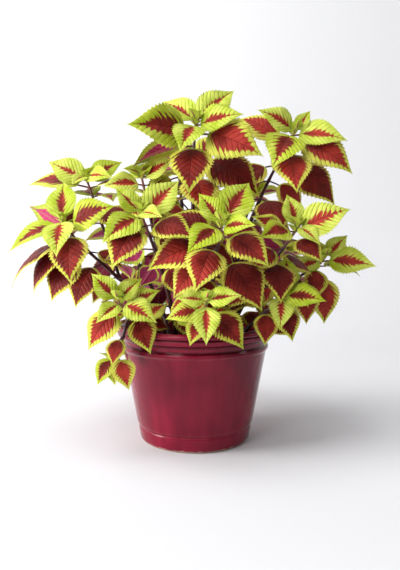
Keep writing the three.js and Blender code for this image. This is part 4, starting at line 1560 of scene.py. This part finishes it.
@dataclass
class LeafForm:
    """How a flat blade is bent into a living one.

    Lengths are shares of the blade's own, but for its thickness and its rib, which are in millimetres.
    """

    fold_rounding: float = 0.10
    crown: float = 0.05
    droop: float = 0.022
    pleats: float = 9
    young_pleat: float = 0.020
    old_pleat: float = 0.011
    pleat_change: float = 0.3
    # Turns, in radians, that make each pleat, each leaf and each half swell by an amount of its own.
    pleat_turns: Place = (2.3, 40, 3)
    pleat_rounding: float = 1.2
    pleat_reach: float = 1.1
    vein_slant: float = 0.8
    vein_bend: float = 0.5
    wave: float = 0.012
    waves: float = 2.2
    notch: float = 0.915
    tooth: float = 1.05
    tooth_lean: float = 0.35
    tooth_foot: float = 0.64
    tooth_easing: float = 1.6
    thickness: float = 0.45
    thinning: float = 0.45
    rib: float = 0.9
    rib_reach: float = 0.05
    rib_taper: float = 0.85
    rib_chord: float = 50
    red_foot: float = 0.03
    young_red_foot: float = 0.06
    red_apex: float = 0.70
    old_red_apex: float = 0.25
    red_ages: tuple[float, ...] = (0, 0.3, 0.5, 0.7, 1)
    red_widths: tuple[float, ...] = (0.04, 0.29, 0.43, 0.68, 0.85)
    red_end: float = 0.12
    red_skew: float = 0.8
    red_bluntness: float = 0.65
    least_tone: float = 0.86
    tone_reach: float = 0.26
    blade: Blade = field(default_factory=Blade)
    # Relief, sway and growth that a leaf tries in turn, until it goes through no other leaf.
    postures: tuple[Place, ...] = (
        (1, 0, 1), (0.5, 0, 1), (1, -0.03, 1), (1, 0.03, 1),
        (0.4, -0.03, 1), (0.4, 0.03, 1), (0.3, -0.07, 1), (0.3, 0.07, 1),
    )

    def margin(self, t: np.ndarray) -> tuple[np.ndarray, np.ndarray]:
        """Cuts the teeth of the margin.

        Args:
            t: Places along the blade.

        Returns:
            How far the margin reaches there, and how far it leans towards the apex.
        """
        blade = self.blade
        place = np.clip((t - blade.teeth_from) / blade.pitch, 0, blade.teeth)
        rest = place - np.floor(place)
        saw = np.interp(rest, (0, blade.tooth_stops[1], 1), (0, 1, 0))
        saw = np.where((t < blade.teeth_from) | (t >= blade.teeth_to), 0, saw)
        ends = np.interp(t, (0, blade.teeth_from, blade.teeth_to, 1), (1, self.notch, self.notch, 1))
        return ends + (self.tooth - self.notch) * saw, self.tooth_lean * blade.pitch * saw

    def phase(self, t: np.ndarray, share: np.ndarray) -> np.ndarray:
        """Number of side veins passed along the blade: a whole number lies on a vein."""
        return (t - self.vein_slant * share - self.vein_bend * share**2) * self.pleats

    def width(self, t: np.ndarray) -> np.ndarray:
        """Half width of the blade, as a share of its largest, at places along it."""
        return outline(np.clip(t, WIDTH_FROM, WIDTH_TO))

    def bend(self, leaf: Leaf, flat: np.ndarray, seed: float, relief: float, sway: float) -> np.ndarray:
        """Bends the flat blade's points into a leaf.

        Args:
            leaf: The leaf's place.
            flat: The blade's points, as u, t and -1 or 1 for its lower or upper face.
            seed: A number from 0 to 1 that makes each leaf its own.
            relief: Share of the swells, waves and droop that the leaf has.
            sway: Rise of its tip, as a share of its length.

        Returns:
            The points in millimetres.
        """
        u, t, face = flat[:, 0], flat[:, 1], flat[:, 2]
        reach = np.abs(u)
        right = u > 0
        spread, lean = self.margin(t)
        rim = np.clip((reach - self.tooth_foot) / (1 - self.tooth_foot), 0, 1) ** self.tooth_easing
        t = t + lean * rim
        wide = self.width(t)
        across = -u * leaf.half * wide * (1 + (spread - 1) * rim)
        phase = self.phase(t, np.abs(across) / leaf.chord)

        crease = self.fold_rounding * leaf.half
        rise = 4 * leaf.arch * leaf.chord * t * (1 - t)
        rise += leaf.fold * (np.hypot(across, crease) - crease)

        # What makes it a living leaf: a crowned blade, tissue that swells between the veins, a waved
        # margin and a hanging apex.
        pleat = self.young_pleat + (self.old_pleat - self.young_pleat) * leaf.age
        swell = np.abs(np.sin(np.pi * phase)) ** self.pleat_rounding
        swell = swell * np.sin(np.pi * np.clip(reach * self.pleat_reach, 0, 1)) * wide
        turn, leaf_turn, side_turn = self.pleat_turns
        change = np.sin(turn * np.floor(phase) + leaf_turn * seed + side_turn * right)
        swell *= 1 + self.pleat_change * change
        ripple = np.sin(2 * np.pi * (self.waves * t + seed) + np.pi * right)
        living = self.crown * leaf.half * np.sin(np.pi * reach) * wide
        living += pleat * leaf.chord * swell
        living += self.wave * leaf.chord * ripple * reach**2 * wide
        living -= self.droop * leaf.chord * t**4
        rise += relief * living + sway * leaf.chord * t**2

        rise += face * (self.thickness / 2 * (1 - self.thinning * reach))
        midrib = (face < 0) * (reach < self.rib_reach) * (1 - self.rib_taper * t)
        rise -= self.rib * midrib * leaf.chord / self.rib_chord
        return (
            leaf.base
            + leaf.along * (leaf.chord * t)[:, None]
            + leaf.side * across[:, None]
            + leaf.normal * rise[:, None]
        )

    def pattern(self, leaf: Leaf, flat: np.ndarray, tone: float) -> np.ndarray:
        """Works out what the finishes need to know of each point.

        Args:
            leaf: The leaf.
            flat: The blade's points, as u, t and its face.
            tone: A number from 0 to 1. The red centre is wider with a higher one.

        Returns:
            How far the red centre reaches past each point, its phase among the veins, and its place across.
        """
        u, t = flat[:, 0], flat[:, 1]
        reach = np.abs(u)
        start = self.red_foot + self.young_red_foot * (1 - leaf.age)
        end = self.red_apex + self.old_red_apex * leaf.age
        place = np.clip((t - start) / (end - start), 0, 1)
        lens = np.sin(np.pi * place**self.red_skew) ** (1.0 - self.red_bluntness * leaf.age)
        widest = np.interp(leaf.age, self.red_ages, self.red_widths)
        width = widest * (self.least_tone + self.tone_reach * tone)
        centre = width * lens - self.red_end * (place <= 0) - self.red_end * (place >= 1)
        share = reach * leaf.half * self.width(t) / leaf.chord
        return np.column_stack((centre - reach, self.phase(t, share), reach))


@dataclass
class FlatBlade:
    """The flat blade that the leaves of one form are bent copies of."""

    form: LeafForm
    piece: Piece
    points: np.ndarray
    faces: list[tuple[int, ...]]

    @classmethod
    def of(cls, form: LeafForm, upper: Finish, under: Finish) -> "FlatBlade":
        """Models the flat blade of a form.

        Args:
            form: The form.
            upper: The finish of the upper face.
            under: The finish of the underside.

        Returns:
            The flat blade.
        """
        piece = form.blade.model(upper, under)
        faces = [tuple(face.vertices) for face in piece.data.polygons]
        return cls(form, piece, coordinates(piece.data), faces)


class BentLeaf:
    """A leaf in one posture, in the form in which crossings are quick to find."""

    def __init__(self, shoot: Shoot, points: np.ndarray, faces: list[tuple[int, ...]]) -> None:
        """Keeps the leaf.

        Args:
            shoot: The shoot that it grows on.
            points: Its points.
            faces: Its faces, as numbers of its points.
        """
        self.shoot = shoot
        self.points = points
        self.low, self.high = points.min(0), points.max(0)
        self.tree = BVHTree.FromPolygons(points.tolist(), faces)

    def near(self, other: "BentLeaf") -> bool:
        """Whether the boxes round two leaves meet."""
        return bool((self.low < other.high).all() and (other.low < self.high).all())

    def crossings(self, others: Sequence["BentLeaf"]) -> int:
        """Number of pairs of faces in which the leaf goes through others."""
        return sum(len(self.tree.overlap(other.tree)) for other in others if self.near(other))


@dataclass
class Foliage:
    """The leafy stems: each one's leaves, with the small new ones at its growing points, and its stalks.

    Lengths are in millimetres and angles in degrees.
    """

    rule: GrowthRule
    form: LeafForm = field(default_factory=LeafForm)
    bud_form: LeafForm = field(
        default_factory=lambda: LeafForm(
            blade=Blade(teeth=6, columns=(0.0, 0.12, 0.6, 1.0), foot_stops=(0.002, 0.04)),
            wave=0.0,
            rib=0.4,
            thickness=0.35,
            postures=((1, 0, 1), (0.5, 0, 1), (0.5, 0, 0.75), (0.4, 0, 0.5), (0.3, 0, 0.3)),
        )
    )
    bud_depths: tuple[float, ...] = (9, 4, 2, 1, 0)
    bud_sizes: tuple[float, ...] = (14, 12, 19, 13, 8)
    bud_lifts: tuple[float, ...] = (40, 44, 40, 58, 72)
    bud_width: float = 0.36
    bud_arch: float = 0.06
    bud_fold: float = 0.5
    bud_stalk: float = 1.0
    bud_stalk_growth: float = 0.04
    bud_stalk_lift: float = 0.3
    stem_sides: int = 16
    stem_sections: int = 48
    stem_squareness: float = 3.6
    stem_end: float = 0.45
    stalk_sides: int = 8
    stalk_sections: int = 8
    stalk_squareness: float = 2.4
    stalk_radius: float = 0.55
    stalk_growth: float = 0.011
    stalk_places: tuple[float, ...] = (0, 0.15, 0.8, 1)
    stalk_shape: tuple[float, ...] = (1.15, 0.9, 0.85, 0.45)
    knee_place: float = 0.55
    knee_rise: float = 0.05
    stalk_overlap: float = 0.05
    stalk_sink: float = 0.35
    node_swelling: float = 0.28
    node_length: float = 2.6
    darkening: float = 42
    tip_darkness: float = 0.05
    stalk_darkness: float = 0.15
    stalk_darkening: float = 0.85
    stalk_paling: float = 0.15
    crease_angle: float = 58
    seed: int = 11
    grown: list[BentLeaf] = field(default_factory=list)
    crossings: list[int] = field(default_factory=list)

    def build(self, upper: Finish, under: Finish, skin: Finish) -> None:
        """Builds the leaves and stalks of every leafy stem.

        Args:
            upper: The finish of the leaves' upper faces.
            under: The finish of their undersides.
            skin: The finish of stems and stalks.
        """
        dice = random.Random(self.seed)
        blade = FlatBlade.of(self.form, upper, under)
        bud = FlatBlade.of(self.bud_form, upper, under)
        stem = tube(self.stem_sides, self.stem_sections)
        stalk = tube(self.stalk_sides, self.stalk_sections)
        stem.data.materials.append(skin)
        stalk.data.materials.append(skin)
        for name in PLANT:
            shoots = [shoot for shoot in self.rule.shoots if shoot.stem == name]
            grown = [leaf for leaf in self.rule.leaves if leaf.shoot in shoots]
            blades = [self.leaf(leaf, blade, dice) for leaf in grown]
            stalks = [self.stem(shoot, stem) for shoot in shoots]
            stalks += [self.stalk(leaf, stalk) for leaf in grown]
            for shoot in shoots:
                blades += [self.leaf(leaf, bud, dice) for leaf in self.buds(shoot)]
            for pieces, part in ((blades, "leaves"), (stalks, "stalks")):
                whole = joined(pieces, f"{name}_{part}")
                smooth(whole, self.crease_angle)
                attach(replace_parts(whole, name), "root")
                log.info("%s: %d faces", whole.name, len(whole.data.polygons))
        for master in (blade.piece, bud.piece, stem, stalk):
            discard(master)
        crossing = np.count_nonzero(self.crossings)
        log.info("leaves that cross another: %d of %d", crossing, len(self.crossings))

    def leaf(self, leaf: Leaf, blade: FlatBlade, dice: random.Random) -> Piece:
        """Bends one leaf.

        Args:
            leaf: The leaf's place.
            blade: The flat blade that it is a copy of.
            dice: Where its seed and tone are drawn from.

        Returns:
            The leaf.
        """
        piece = copy_of(blade.piece)
        seed, tone = dice.random(), dice.random()
        reshape(piece, self.settled(leaf, blade, seed) * MM)
        tag(piece, "leaf", np.tile((leaf.age, tone, seed), (len(blade.points), 1)))
        tag(piece, "pattern", blade.form.pattern(leaf, blade.points, tone))
        return piece

    def settled(self, leaf: Leaf, blade: FlatBlade, seed: float) -> np.ndarray:
        """Settles a leaf in the posture in which it goes through the leaves before it the least.

        A bud is let through the leaves of its own shoot, since they all grow from one place.

        Args:
            leaf: The leaf's place.
            blade: The flat blade that it is a copy of.
            seed: A number from 0 to 1 that makes each leaf its own.

        Returns:
            Its points in millimetres.
        """
        others = [other for other in self.grown if leaf.age or other.shoot is not leaf.shoot]
        fewest = math.inf
        for relief, sway, growth in blade.form.postures:
            points = blade.form.bend(leaf, blade.points, seed, relief, sway)
            tried = BentLeaf(leaf.shoot, leaf.base + (points - leaf.base) * growth, blade.faces)
            crossings = tried.crossings(others)
            if crossings < fewest:
                fewest, best = crossings, tried
            if not crossings:
                break
        self.grown.append(best)
        self.crossings.append(fewest)
        return best.points

    def buds(self, shoot: Shoot) -> list[Leaf]:
        """Places the small new leaves at a growing point, in crossed pairs that stand ever more upright.

        Args:
            shoot: The shoot.

        Returns:
            The leaves.
        """
        newest = next(leaf for leaf in self.rule.leaves if leaf.shoot is shoot)
        first = math.atan2(newest.along[1], newest.along[0])
        tip = shoot.line[-1]
        nodes = [shoot.below_tip(depth) for depth in self.bud_depths]
        leaves = []
        for pair, (node, size, lift) in enumerate(zip(nodes, self.bud_sizes, self.bud_lifts)):
            for half_turn in (0, math.pi):
                azimuth = first + (pair + 1) * math.pi / 2 + half_turn
                along = heading(azimuth, math.radians(lift))
                normal = unit(UP - along * along[2])
                stalk = self.bud_stalk + self.bud_stalk_growth * size
                base = node + heading(azimuth, self.bud_stalk_lift) * stalk
                half = self.bud_width * size
                leaves.append(
                    Leaf(shoot, 0.0, tip, base, along, normal, size, half, self.bud_arch, self.bud_fold)
                )
        return leaves

    def stem(self, shoot: Shoot, master: Piece) -> Piece:
        """Bends a square stem from its foot to its growing point, swollen at its nodes.

        Args:
            shoot: Its shoot.
            master: The straight tube that it is a copy of.

        Returns:
            The stem.
        """
        rule = self.rule
        line = centre_line(shoot.start, shoot.line[-1], shoot.rooted, self.stem_sections)
        share = np.linspace(0, 1, len(line))
        thick = rule.stem_base_radius if shoot.rooted else rule.side_base_radius
        plain = thick + (rule.stem_tip_radius - thick) * share
        lengths = np.linalg.norm(np.diff(line, axis=0), axis=1)
        below = np.append(np.cumsum(lengths[::-1])[::-1], 0)
        radii = plain
        for leaf in self.rule.leaves:
            if leaf.shoot is shoot:
                gap = np.linalg.norm(line - leaf.node, axis=1)
                swelling = self.node_swelling * np.exp(-((gap / self.node_length) ** 2))
                radii = np.maximum(radii, plain * (1 + swelling))
        radii[-1] *= self.stem_end
        if shoot.rooted:
            line[0][2] = rule.soil_top - rule.hole_depth + rule.gap
        piece = bent(master, line * MM, radii * MM, self.stem_squareness)
        darkness = np.clip(self.tip_darkness + below / self.darkening, 0, 1)
        self.tag_skin(piece, master, darkness, share)
        return piece

    def stalk(self, leaf: Leaf, master: Piece) -> Piece:
        """Bends a leaf's stalk from its node into the underside of its blade.

        Args:
            leaf: The leaf.
            master: The straight tube that it is a copy of.

        Returns:
            The stalk.
        """
        run = leaf.base - leaf.node
        knee = leaf.node + self.knee_place * run + leaf.normal * self.knee_rise * np.linalg.norm(run)
        end = leaf.base + leaf.along * self.stalk_overlap * leaf.chord - leaf.normal * self.stalk_sink
        share = np.linspace(0, 1, self.stalk_sections + 1)
        t = share[:, None]
        line = leaf.node * (1 - t) ** 2 + knee * 2 * t * (1 - t) + end * t * t
        thick = self.stalk_radius + self.stalk_growth * leaf.chord
        radii = np.interp(share, self.stalk_places, self.stalk_shape) * thick
        piece = bent(master, line * MM, radii * MM, self.stalk_squareness)
        at_node = self.stalk_darkness + self.stalk_darkening * leaf.age
        darkness = np.clip(at_node - self.stalk_paling * share, 0, 1)
        self.tag_skin(piece, master, darkness, share)
        return piece

    def tag_skin(self, piece: Piece, master: Piece, darkness: np.ndarray, share: np.ndarray) -> None:
        """Gives each vertex of the stem or stalk the darkness and the place of its section."""
        at = np.rint(coordinates(master.data)[:, 2] * (len(share) - 1)).astype(int)
        tag(piece, "skin", np.column_stack((darkness[at], share[at], np.zeros(len(at)))))


# ---------------------------------------------------------------- pot and soil


@dataclass
class GlazedPot:
    """The turned pot with its rolled lip, band, groove, foot and drain holes. Lengths are in millimetres."""

    height: float = 146
    rim: float = 101.5
    shoulder: float = 90
    foot: float = 66.5
    floor: float = 9
    sides: int = 96
    drain_holes: int = 3
    drain_radius: float = 5
    drain_circle: float = 30
    drain_sides: int = 32
    crease_angle: float = 40

    def profile(self) -> Profile:
        """Draws the section from the centre of the underside round to the centre of the floor inside.

        Returns:
            Radius and height of its points, in metres.
        """
        rim, foot, shoulder, top = self.rim, self.foot, self.shoulder, self.height
        outside = [
            (0, 0, 0), (foot, 0, 1.2), (foot + 3, 3, 2.5), (foot + 5, 16.5, 2),
            (foot + 4, 19.5, 1.2), (foot + 6.7, 22.5, 2), (shoulder, 114.5, 1.4),
            (shoulder + 2.6, 117, 1.3), (shoulder + 2.6, 120.5, 1.3), (shoulder + 0.4, 123, 1.4),
            (shoulder + 1.2, 130.5, 2.5),
        ]
        lip = [
            (rim - 4.3, 132.8, 1.2), (rim - 3.3, 137.2, 0.7), (rim - 4.7, 138.4, 0.6),
            (rim - 0.4, 140.2, 1.2), (rim, 143.4, 1.5), (rim - 3, top, 1.7), (rim - 9, top - 0.4, 2.4),
            (rim - 11.8, top - 4, 2.2),
        ]
        inside = [
            (inner_radius(LIP_FOOT), LIP_FOOT, 4), (*WALL_FOOT, 6), (FLOOR_RADIUS, self.floor, 4),
            (0, self.floor, 0),
        ]
        return [(radius * MM, z * MM) for radius, z in rounded(outside + lip + inside)]

    def build(self, finish: Finish) -> None:
        """Builds the pot in the place of its solid.

        Args:
            finish: Its finish.
        """
        pot = spun(self.profile(), self.sides, "glazed_pot")
        for i in range(self.drain_holes):
            angle = 2 * math.pi * i / self.drain_holes + math.pi / 6
            x, y = math.cos(angle), math.sin(angle)
            deselect()
            bpy.ops.mesh.primitive_cylinder_add(
                vertices=self.drain_sides,
                radius=self.drain_radius * MM,
                depth=3 * self.floor * MM,
                location=(self.drain_circle * MM * x, self.drain_circle * MM * y, 0),
            )
            drill = bpy.context.object
            apply_modifier(pot, "BOOLEAN", object=drill, operation="DIFFERENCE", solver="EXACT")
            discard(drill)
        pot.data.materials.clear()
        pot.data.materials.append(finish)
        smooth(pot, self.crease_angle)
        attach(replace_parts(pot, "pot"), "root")
        log.info("%s: %d faces", pot.name, len(pot.data.polygons))


@dataclass
class SoilBed:
    """The potting soil, with loose crumbs and grains of perlite on it. Lengths are in millimetres.

    Its surface swells in waves, which turn by so many radians a millimetre, and is roughened by layers of
    lumps, each layer smaller and fainter than the one before.
    """

    top: float = 116
    floor: float = 9.3
    wall_gap: float = 0.3
    sides: int = 96
    rings: int = 34
    crown: float = 1.2
    swell: float = 1.6
    swell_turns: tuple[float, float] = (0.13, 0.17)
    swell_starts: tuple[float, float] = (1, 2)
    roughness: float = 2.2
    lumps_per_mm: float = 0.09
    lump_fading: float = 0.6
    lump_steps: float = 2.2
    lump_layers: int = 4
    surface_depth: float = 0.5
    crumbs: int = 420
    crumb_sizes: tuple[float, float] = (0.8, 2.6)
    grains: int = 70
    grain_sizes: tuple[float, float] = (0.9, 2.0)
    scatter_radius: float = 79
    rarity: float = 1.3
    bumps: tuple[float, float] = (0.7, 1.25)
    widths: tuple[float, float] = (0.7, 1.2)
    heights: tuple[float, float] = (0.55, 0.9)
    lying: float = 0.25
    seed: int = 5

    def height(self, x: float, y: float) -> float:
        """Works out the height of the soil's surface.

        Args:
            x: A place to the right.
            y: A place to the back.

        Returns:
            Its height there.
        """
        wave_x = math.sin(self.swell_turns[0] * x + self.swell_starts[0])
        wave_y = math.sin(self.swell_turns[1] * y + self.swell_starts[1])
        place = Vector((x, y, 0)) * self.lumps_per_mm
        lumps = noise.fractal(place, self.lump_fading, self.lump_steps, self.lump_layers)
        return self.top + self.crown + self.swell * wave_x * wave_y + self.roughness * lumps

    def build(self, soil: Finish, perlite: Finish) -> None:
        """Builds the bed, the crumbs and the grains.

        Args:
            soil: The finish of bed and crumbs.
            perlite: The finish of the grains.
        """
        low, high = (inner_radius(z) - self.wall_gap for z in (WALL_FOOT[1], self.top))
        wall = [(0, self.floor, 0), (FLOOR_RADIUS - self.wall_gap, self.floor, 2), (low, WALL_FOOT[1], 4)]
        surface = [(radius, self.top, 0) for radius in np.linspace(high, 0, self.rings)]
        path = [(radius * MM, z * MM) for radius, z in rounded(wall + surface)]
        bed = spun(path, self.sides, "potting_mix_bed")
        points = coordinates(bed.data) / MM
        for point in points:
            if point[2] > self.top - self.surface_depth:
                point[2] = self.height(point[0], point[1])
        reshape(bed, points * MM)
        self.finish(bed, soil)
        dice = random.Random(self.seed)
        self.finish(self.scatter("soil_crumbs", self.crumbs, self.crumb_sizes, dice), soil)
        self.finish(self.scatter("perlite_grains", self.grains, self.grain_sizes, dice), perlite)

    def finish(self, piece: Piece, material: Finish) -> None:
        """Gives a piece its finish and its place in the model.

        Args:
            piece: The piece.
            material: Its finish.
        """
        piece.data.materials.clear()
        piece.data.materials.append(material)
        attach(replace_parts(piece, "potting_soil"), "root")
        log.info("%s: %d faces", piece.name, len(piece.data.polygons))

    def scatter(self, name: str, count: int, sizes: tuple[float, float], dice: random.Random) -> Piece:
        """Lays small lumps on the soil, each a rough and squashed copy of one ball.

        Args:
            name: The name of the whole.
            count: Number of lumps.
            sizes: Their least and largest size, before a power that makes large ones rarer.
            dice: Where their places and shapes are drawn from.

        Returns:
            The lumps as one piece.
        """
        deselect()
        bpy.ops.mesh.primitive_ico_sphere_add(subdivisions=1, radius=1)
        ball = bpy.context.object
        shape = coordinates(ball.data)
        lumps = []
        for _ in range(count):
            lump = copy_of(ball)
            radius, angle = self.scatter_radius * math.sqrt(dice.random()), 2 * math.pi * dice.random()
            x, y = radius * math.cos(angle), radius * math.sin(angle)
            size = dice.uniform(*sizes) ** self.rarity
            rough = np.array([dice.uniform(*self.bumps) for _ in shape])[:, None]
            squash = np.array([dice.uniform(*ends) for ends in (self.widths, self.widths, self.heights)])
            place = np.array((x, y, self.height(x, y) + self.lying * size))
            reshape(lump, (shape * rough * squash * size + place) * MM)
            lumps.append(lump)
        discard(ball)
        return joined(lumps, name)


# ---------------------------------------------------------------- studio


@dataclass(frozen=True)
class Softbox:
    """A square lamp: its place, its side in metres, its power in watts, and the place that it faces."""

    name: str
    place: Place
    size: float
    power: float
    target: Place = (0, 0, 0.2)

    def build(self) -> None:
        """Sets the lamp up."""
        deselect()
        bpy.ops.object.light_add(type="AREA", location=self.place)
        lamp = bpy.context.object
        lamp.name = self.name
        lamp.data.size = self.size
        lamp.data.energy = self.power
        facing = Vector(self.target) - Vector(self.place)
        lamp.rotation_euler = facing.to_track_quat("-Z", "Y").to_euler()


@dataclass
class Studio:
    """A plain pale sweep with soft light from the left front, and the camera.

    Lengths are in metres and angles in degrees. The focal length, the image's height and how far left of its
    middle the pot stands are in pixels.
    """

    camera_distance: float = 0.750
    camera_height: float = 0.254
    camera_tilt: float = 4.59
    camera_near: float = 0.01
    focal_pixels: float = 596
    image_height: float = 570
    pot_axis_offset: float = 5.1
    sensor: float = 36
    paper: Colour = (0.70, 0.70, 0.715)
    paper_grain: Colour = (0.66, 0.66, 0.68)
    paper_size: tuple[float, float] = (9, 3.4)
    paper_middle: float = -0.35
    paper_rise: float = 3.2
    paper_bend: float = 0.75
    paper_bend_steps: int = 16
    paper_crease_angle: float = 60
    paper_grain_per_m: float = 60
    room_colour: Colour = (0.96, 0.97, 1.0)
    camera_side: float = 0.05
    room_light: float = 0.36
    bright_side: Place = (-0.6, 0.8, 0.0)
    fading: tuple[float, float] = (-0.9, 0.1)
    lamps: tuple[Softbox, ...] = (
        Softbox("key_softbox", (-2.7, -0.6, 0.85), 1.4, 104),
        Softbox("fill_softbox", (-1.5, -2.2, 1.5), 1.2, 24),
        Softbox("top_softbox", (-0.7, -0.4, 2.3), 1.6, 39),
        Softbox("backdrop_lamp", (1.9, 0.1, 1.3), 0.7, 6, (0.9, 1.35, 0.7)),
    )

    def build(self) -> None:
        """Builds the sweep, the lamps, the room and the camera."""
        self.sweep()
        for lamp in self.lamps:
            lamp.build()
        self.room()
        bpy.context.scene.view_settings.view_transform = "Standard"
        self.camera()
        log.info("studio: sweep, %d lamps and camera", len(self.lamps))

    def room(self) -> None:
        """The room round the set: pale, and dark on the camera's side and to the right."""
        world = bpy.data.worlds.new("studio")
        world.use_nodes = True
        tree = world.node_tree
        background = tree.nodes["Background"]
        background.inputs["Color"].default_value = (*self.room_colour, 1)
        aside = tree.nodes.new("ShaderNodeVectorMath")
        aside.operation = "DOT_PRODUCT"
        aside.inputs[1].default_value = self.bright_side
        fading = tree.nodes.new("ShaderNodeMapRange")
        dark_from, bright_from = self.fading
        ends = {"From Min": dark_from, "From Max": bright_from}
        light = {"To Min": self.camera_side, "To Max": self.room_light}
        for name, value in (ends | light).items():
            fading.inputs[name].default_value = value
        tree.links.new(tree.nodes.new("ShaderNodeTexCoord").outputs["Generated"], aside.inputs[0])
        tree.links.new(aside.outputs["Value"], fading.inputs["Value"])
        tree.links.new(fading.outputs["Result"], background.inputs["Strength"])
        bpy.context.scene.world = world

    def sweep(self) -> None:
        """A sheet of paper that lies flat and curves up behind the pot."""
        deselect()
        bpy.ops.mesh.primitive_plane_add(size=1)
        paper = bpy.context.object
        paper.name = "paper_sweep"
        bpy.ops.object.mode_set(mode="EDIT")
        bpy.ops.transform.resize(value=(*self.paper_size, 1))
        bpy.ops.transform.translate(value=(0, self.paper_middle, 0))
        bpy.ops.mesh.select_mode(type="EDGE")
        bpy.ops.mesh.select_all(action="DESELECT")
        bpy.ops.object.mode_set(mode="OBJECT")
        for edge in paper.data.edges:
            ends = [paper.data.vertices[i].co.y for i in edge.vertices]
            edge.select = min(ends) > 0
        bpy.ops.object.mode_set(mode="EDIT")
        bpy.ops.mesh.extrude_region_move(TRANSFORM_OT_translate={"value": (0, 0, self.paper_rise)})
        bpy.ops.object.mode_set(mode="OBJECT")
        bend = {"width": self.paper_bend, "segments": self.paper_bend_steps, "limit_method": "ANGLE"}
        apply_modifier(paper, "BEVEL", **bend)
        smooth(paper, self.paper_crease_angle)
        g = Graph("sweep_paper", 0.8, Specular_IOR_Level=0.2)
        grain = g.noise(g.place(), self.paper_grain_per_m, 3)
        g.set("Base Color", g.mix(g.times(grain, 0.04), self.paper, self.paper_grain))
        paper.data.materials.append(g.material)
        paper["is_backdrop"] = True

    def camera(self) -> None:
        """The camera, level with the middle of the plant and tilted slightly down."""
        deselect()
        bpy.ops.object.camera_add(location=(0, -self.camera_distance, self.camera_height))
        camera = bpy.context.object
        camera.rotation_euler = (math.radians(90 - self.camera_tilt), 0, 0)
        camera.data.sensor_width = self.sensor
        camera.data.sensor_fit = "AUTO"
        camera.data.lens = self.focal_pixels * self.sensor / self.image_height
        camera.data.shift_x = self.pot_axis_offset / self.image_height
        camera.data.clip_start = self.camera_near
        bpy.context.scene.camera = camera


# ---------------------------------------------------------------- the whole model


def corners(box: tuple[Vector, Vector]) -> list[list[float]]:
    """A box's two corners as plain numbers."""
    return [list(corner) for corner in box]


def main() -> None:
    """Builds the coleus and its studio, and works out the sizes of the solids and of the dressed model."""
    logging.basicConfig(level=logging.INFO, format="%(name)s %(message)s")
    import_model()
    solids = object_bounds()
    rule = GrowthRule()
    rule.grow()
    log.info("grown: %d leaves", len(rule.leaves))
    GlazedPot().build(BurgundyGlaze().material())
    SoilBed().build(SoilMix().material(), PerliteGrain().material())
    Foliage(rule).build(LeafUpper().material(), LeafUnder().material(), StemSkin().material())
    Studio().build()
    {"solids": corners(solids), "dressed": corners(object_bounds())}


if __name__ == "__main__":
    main()
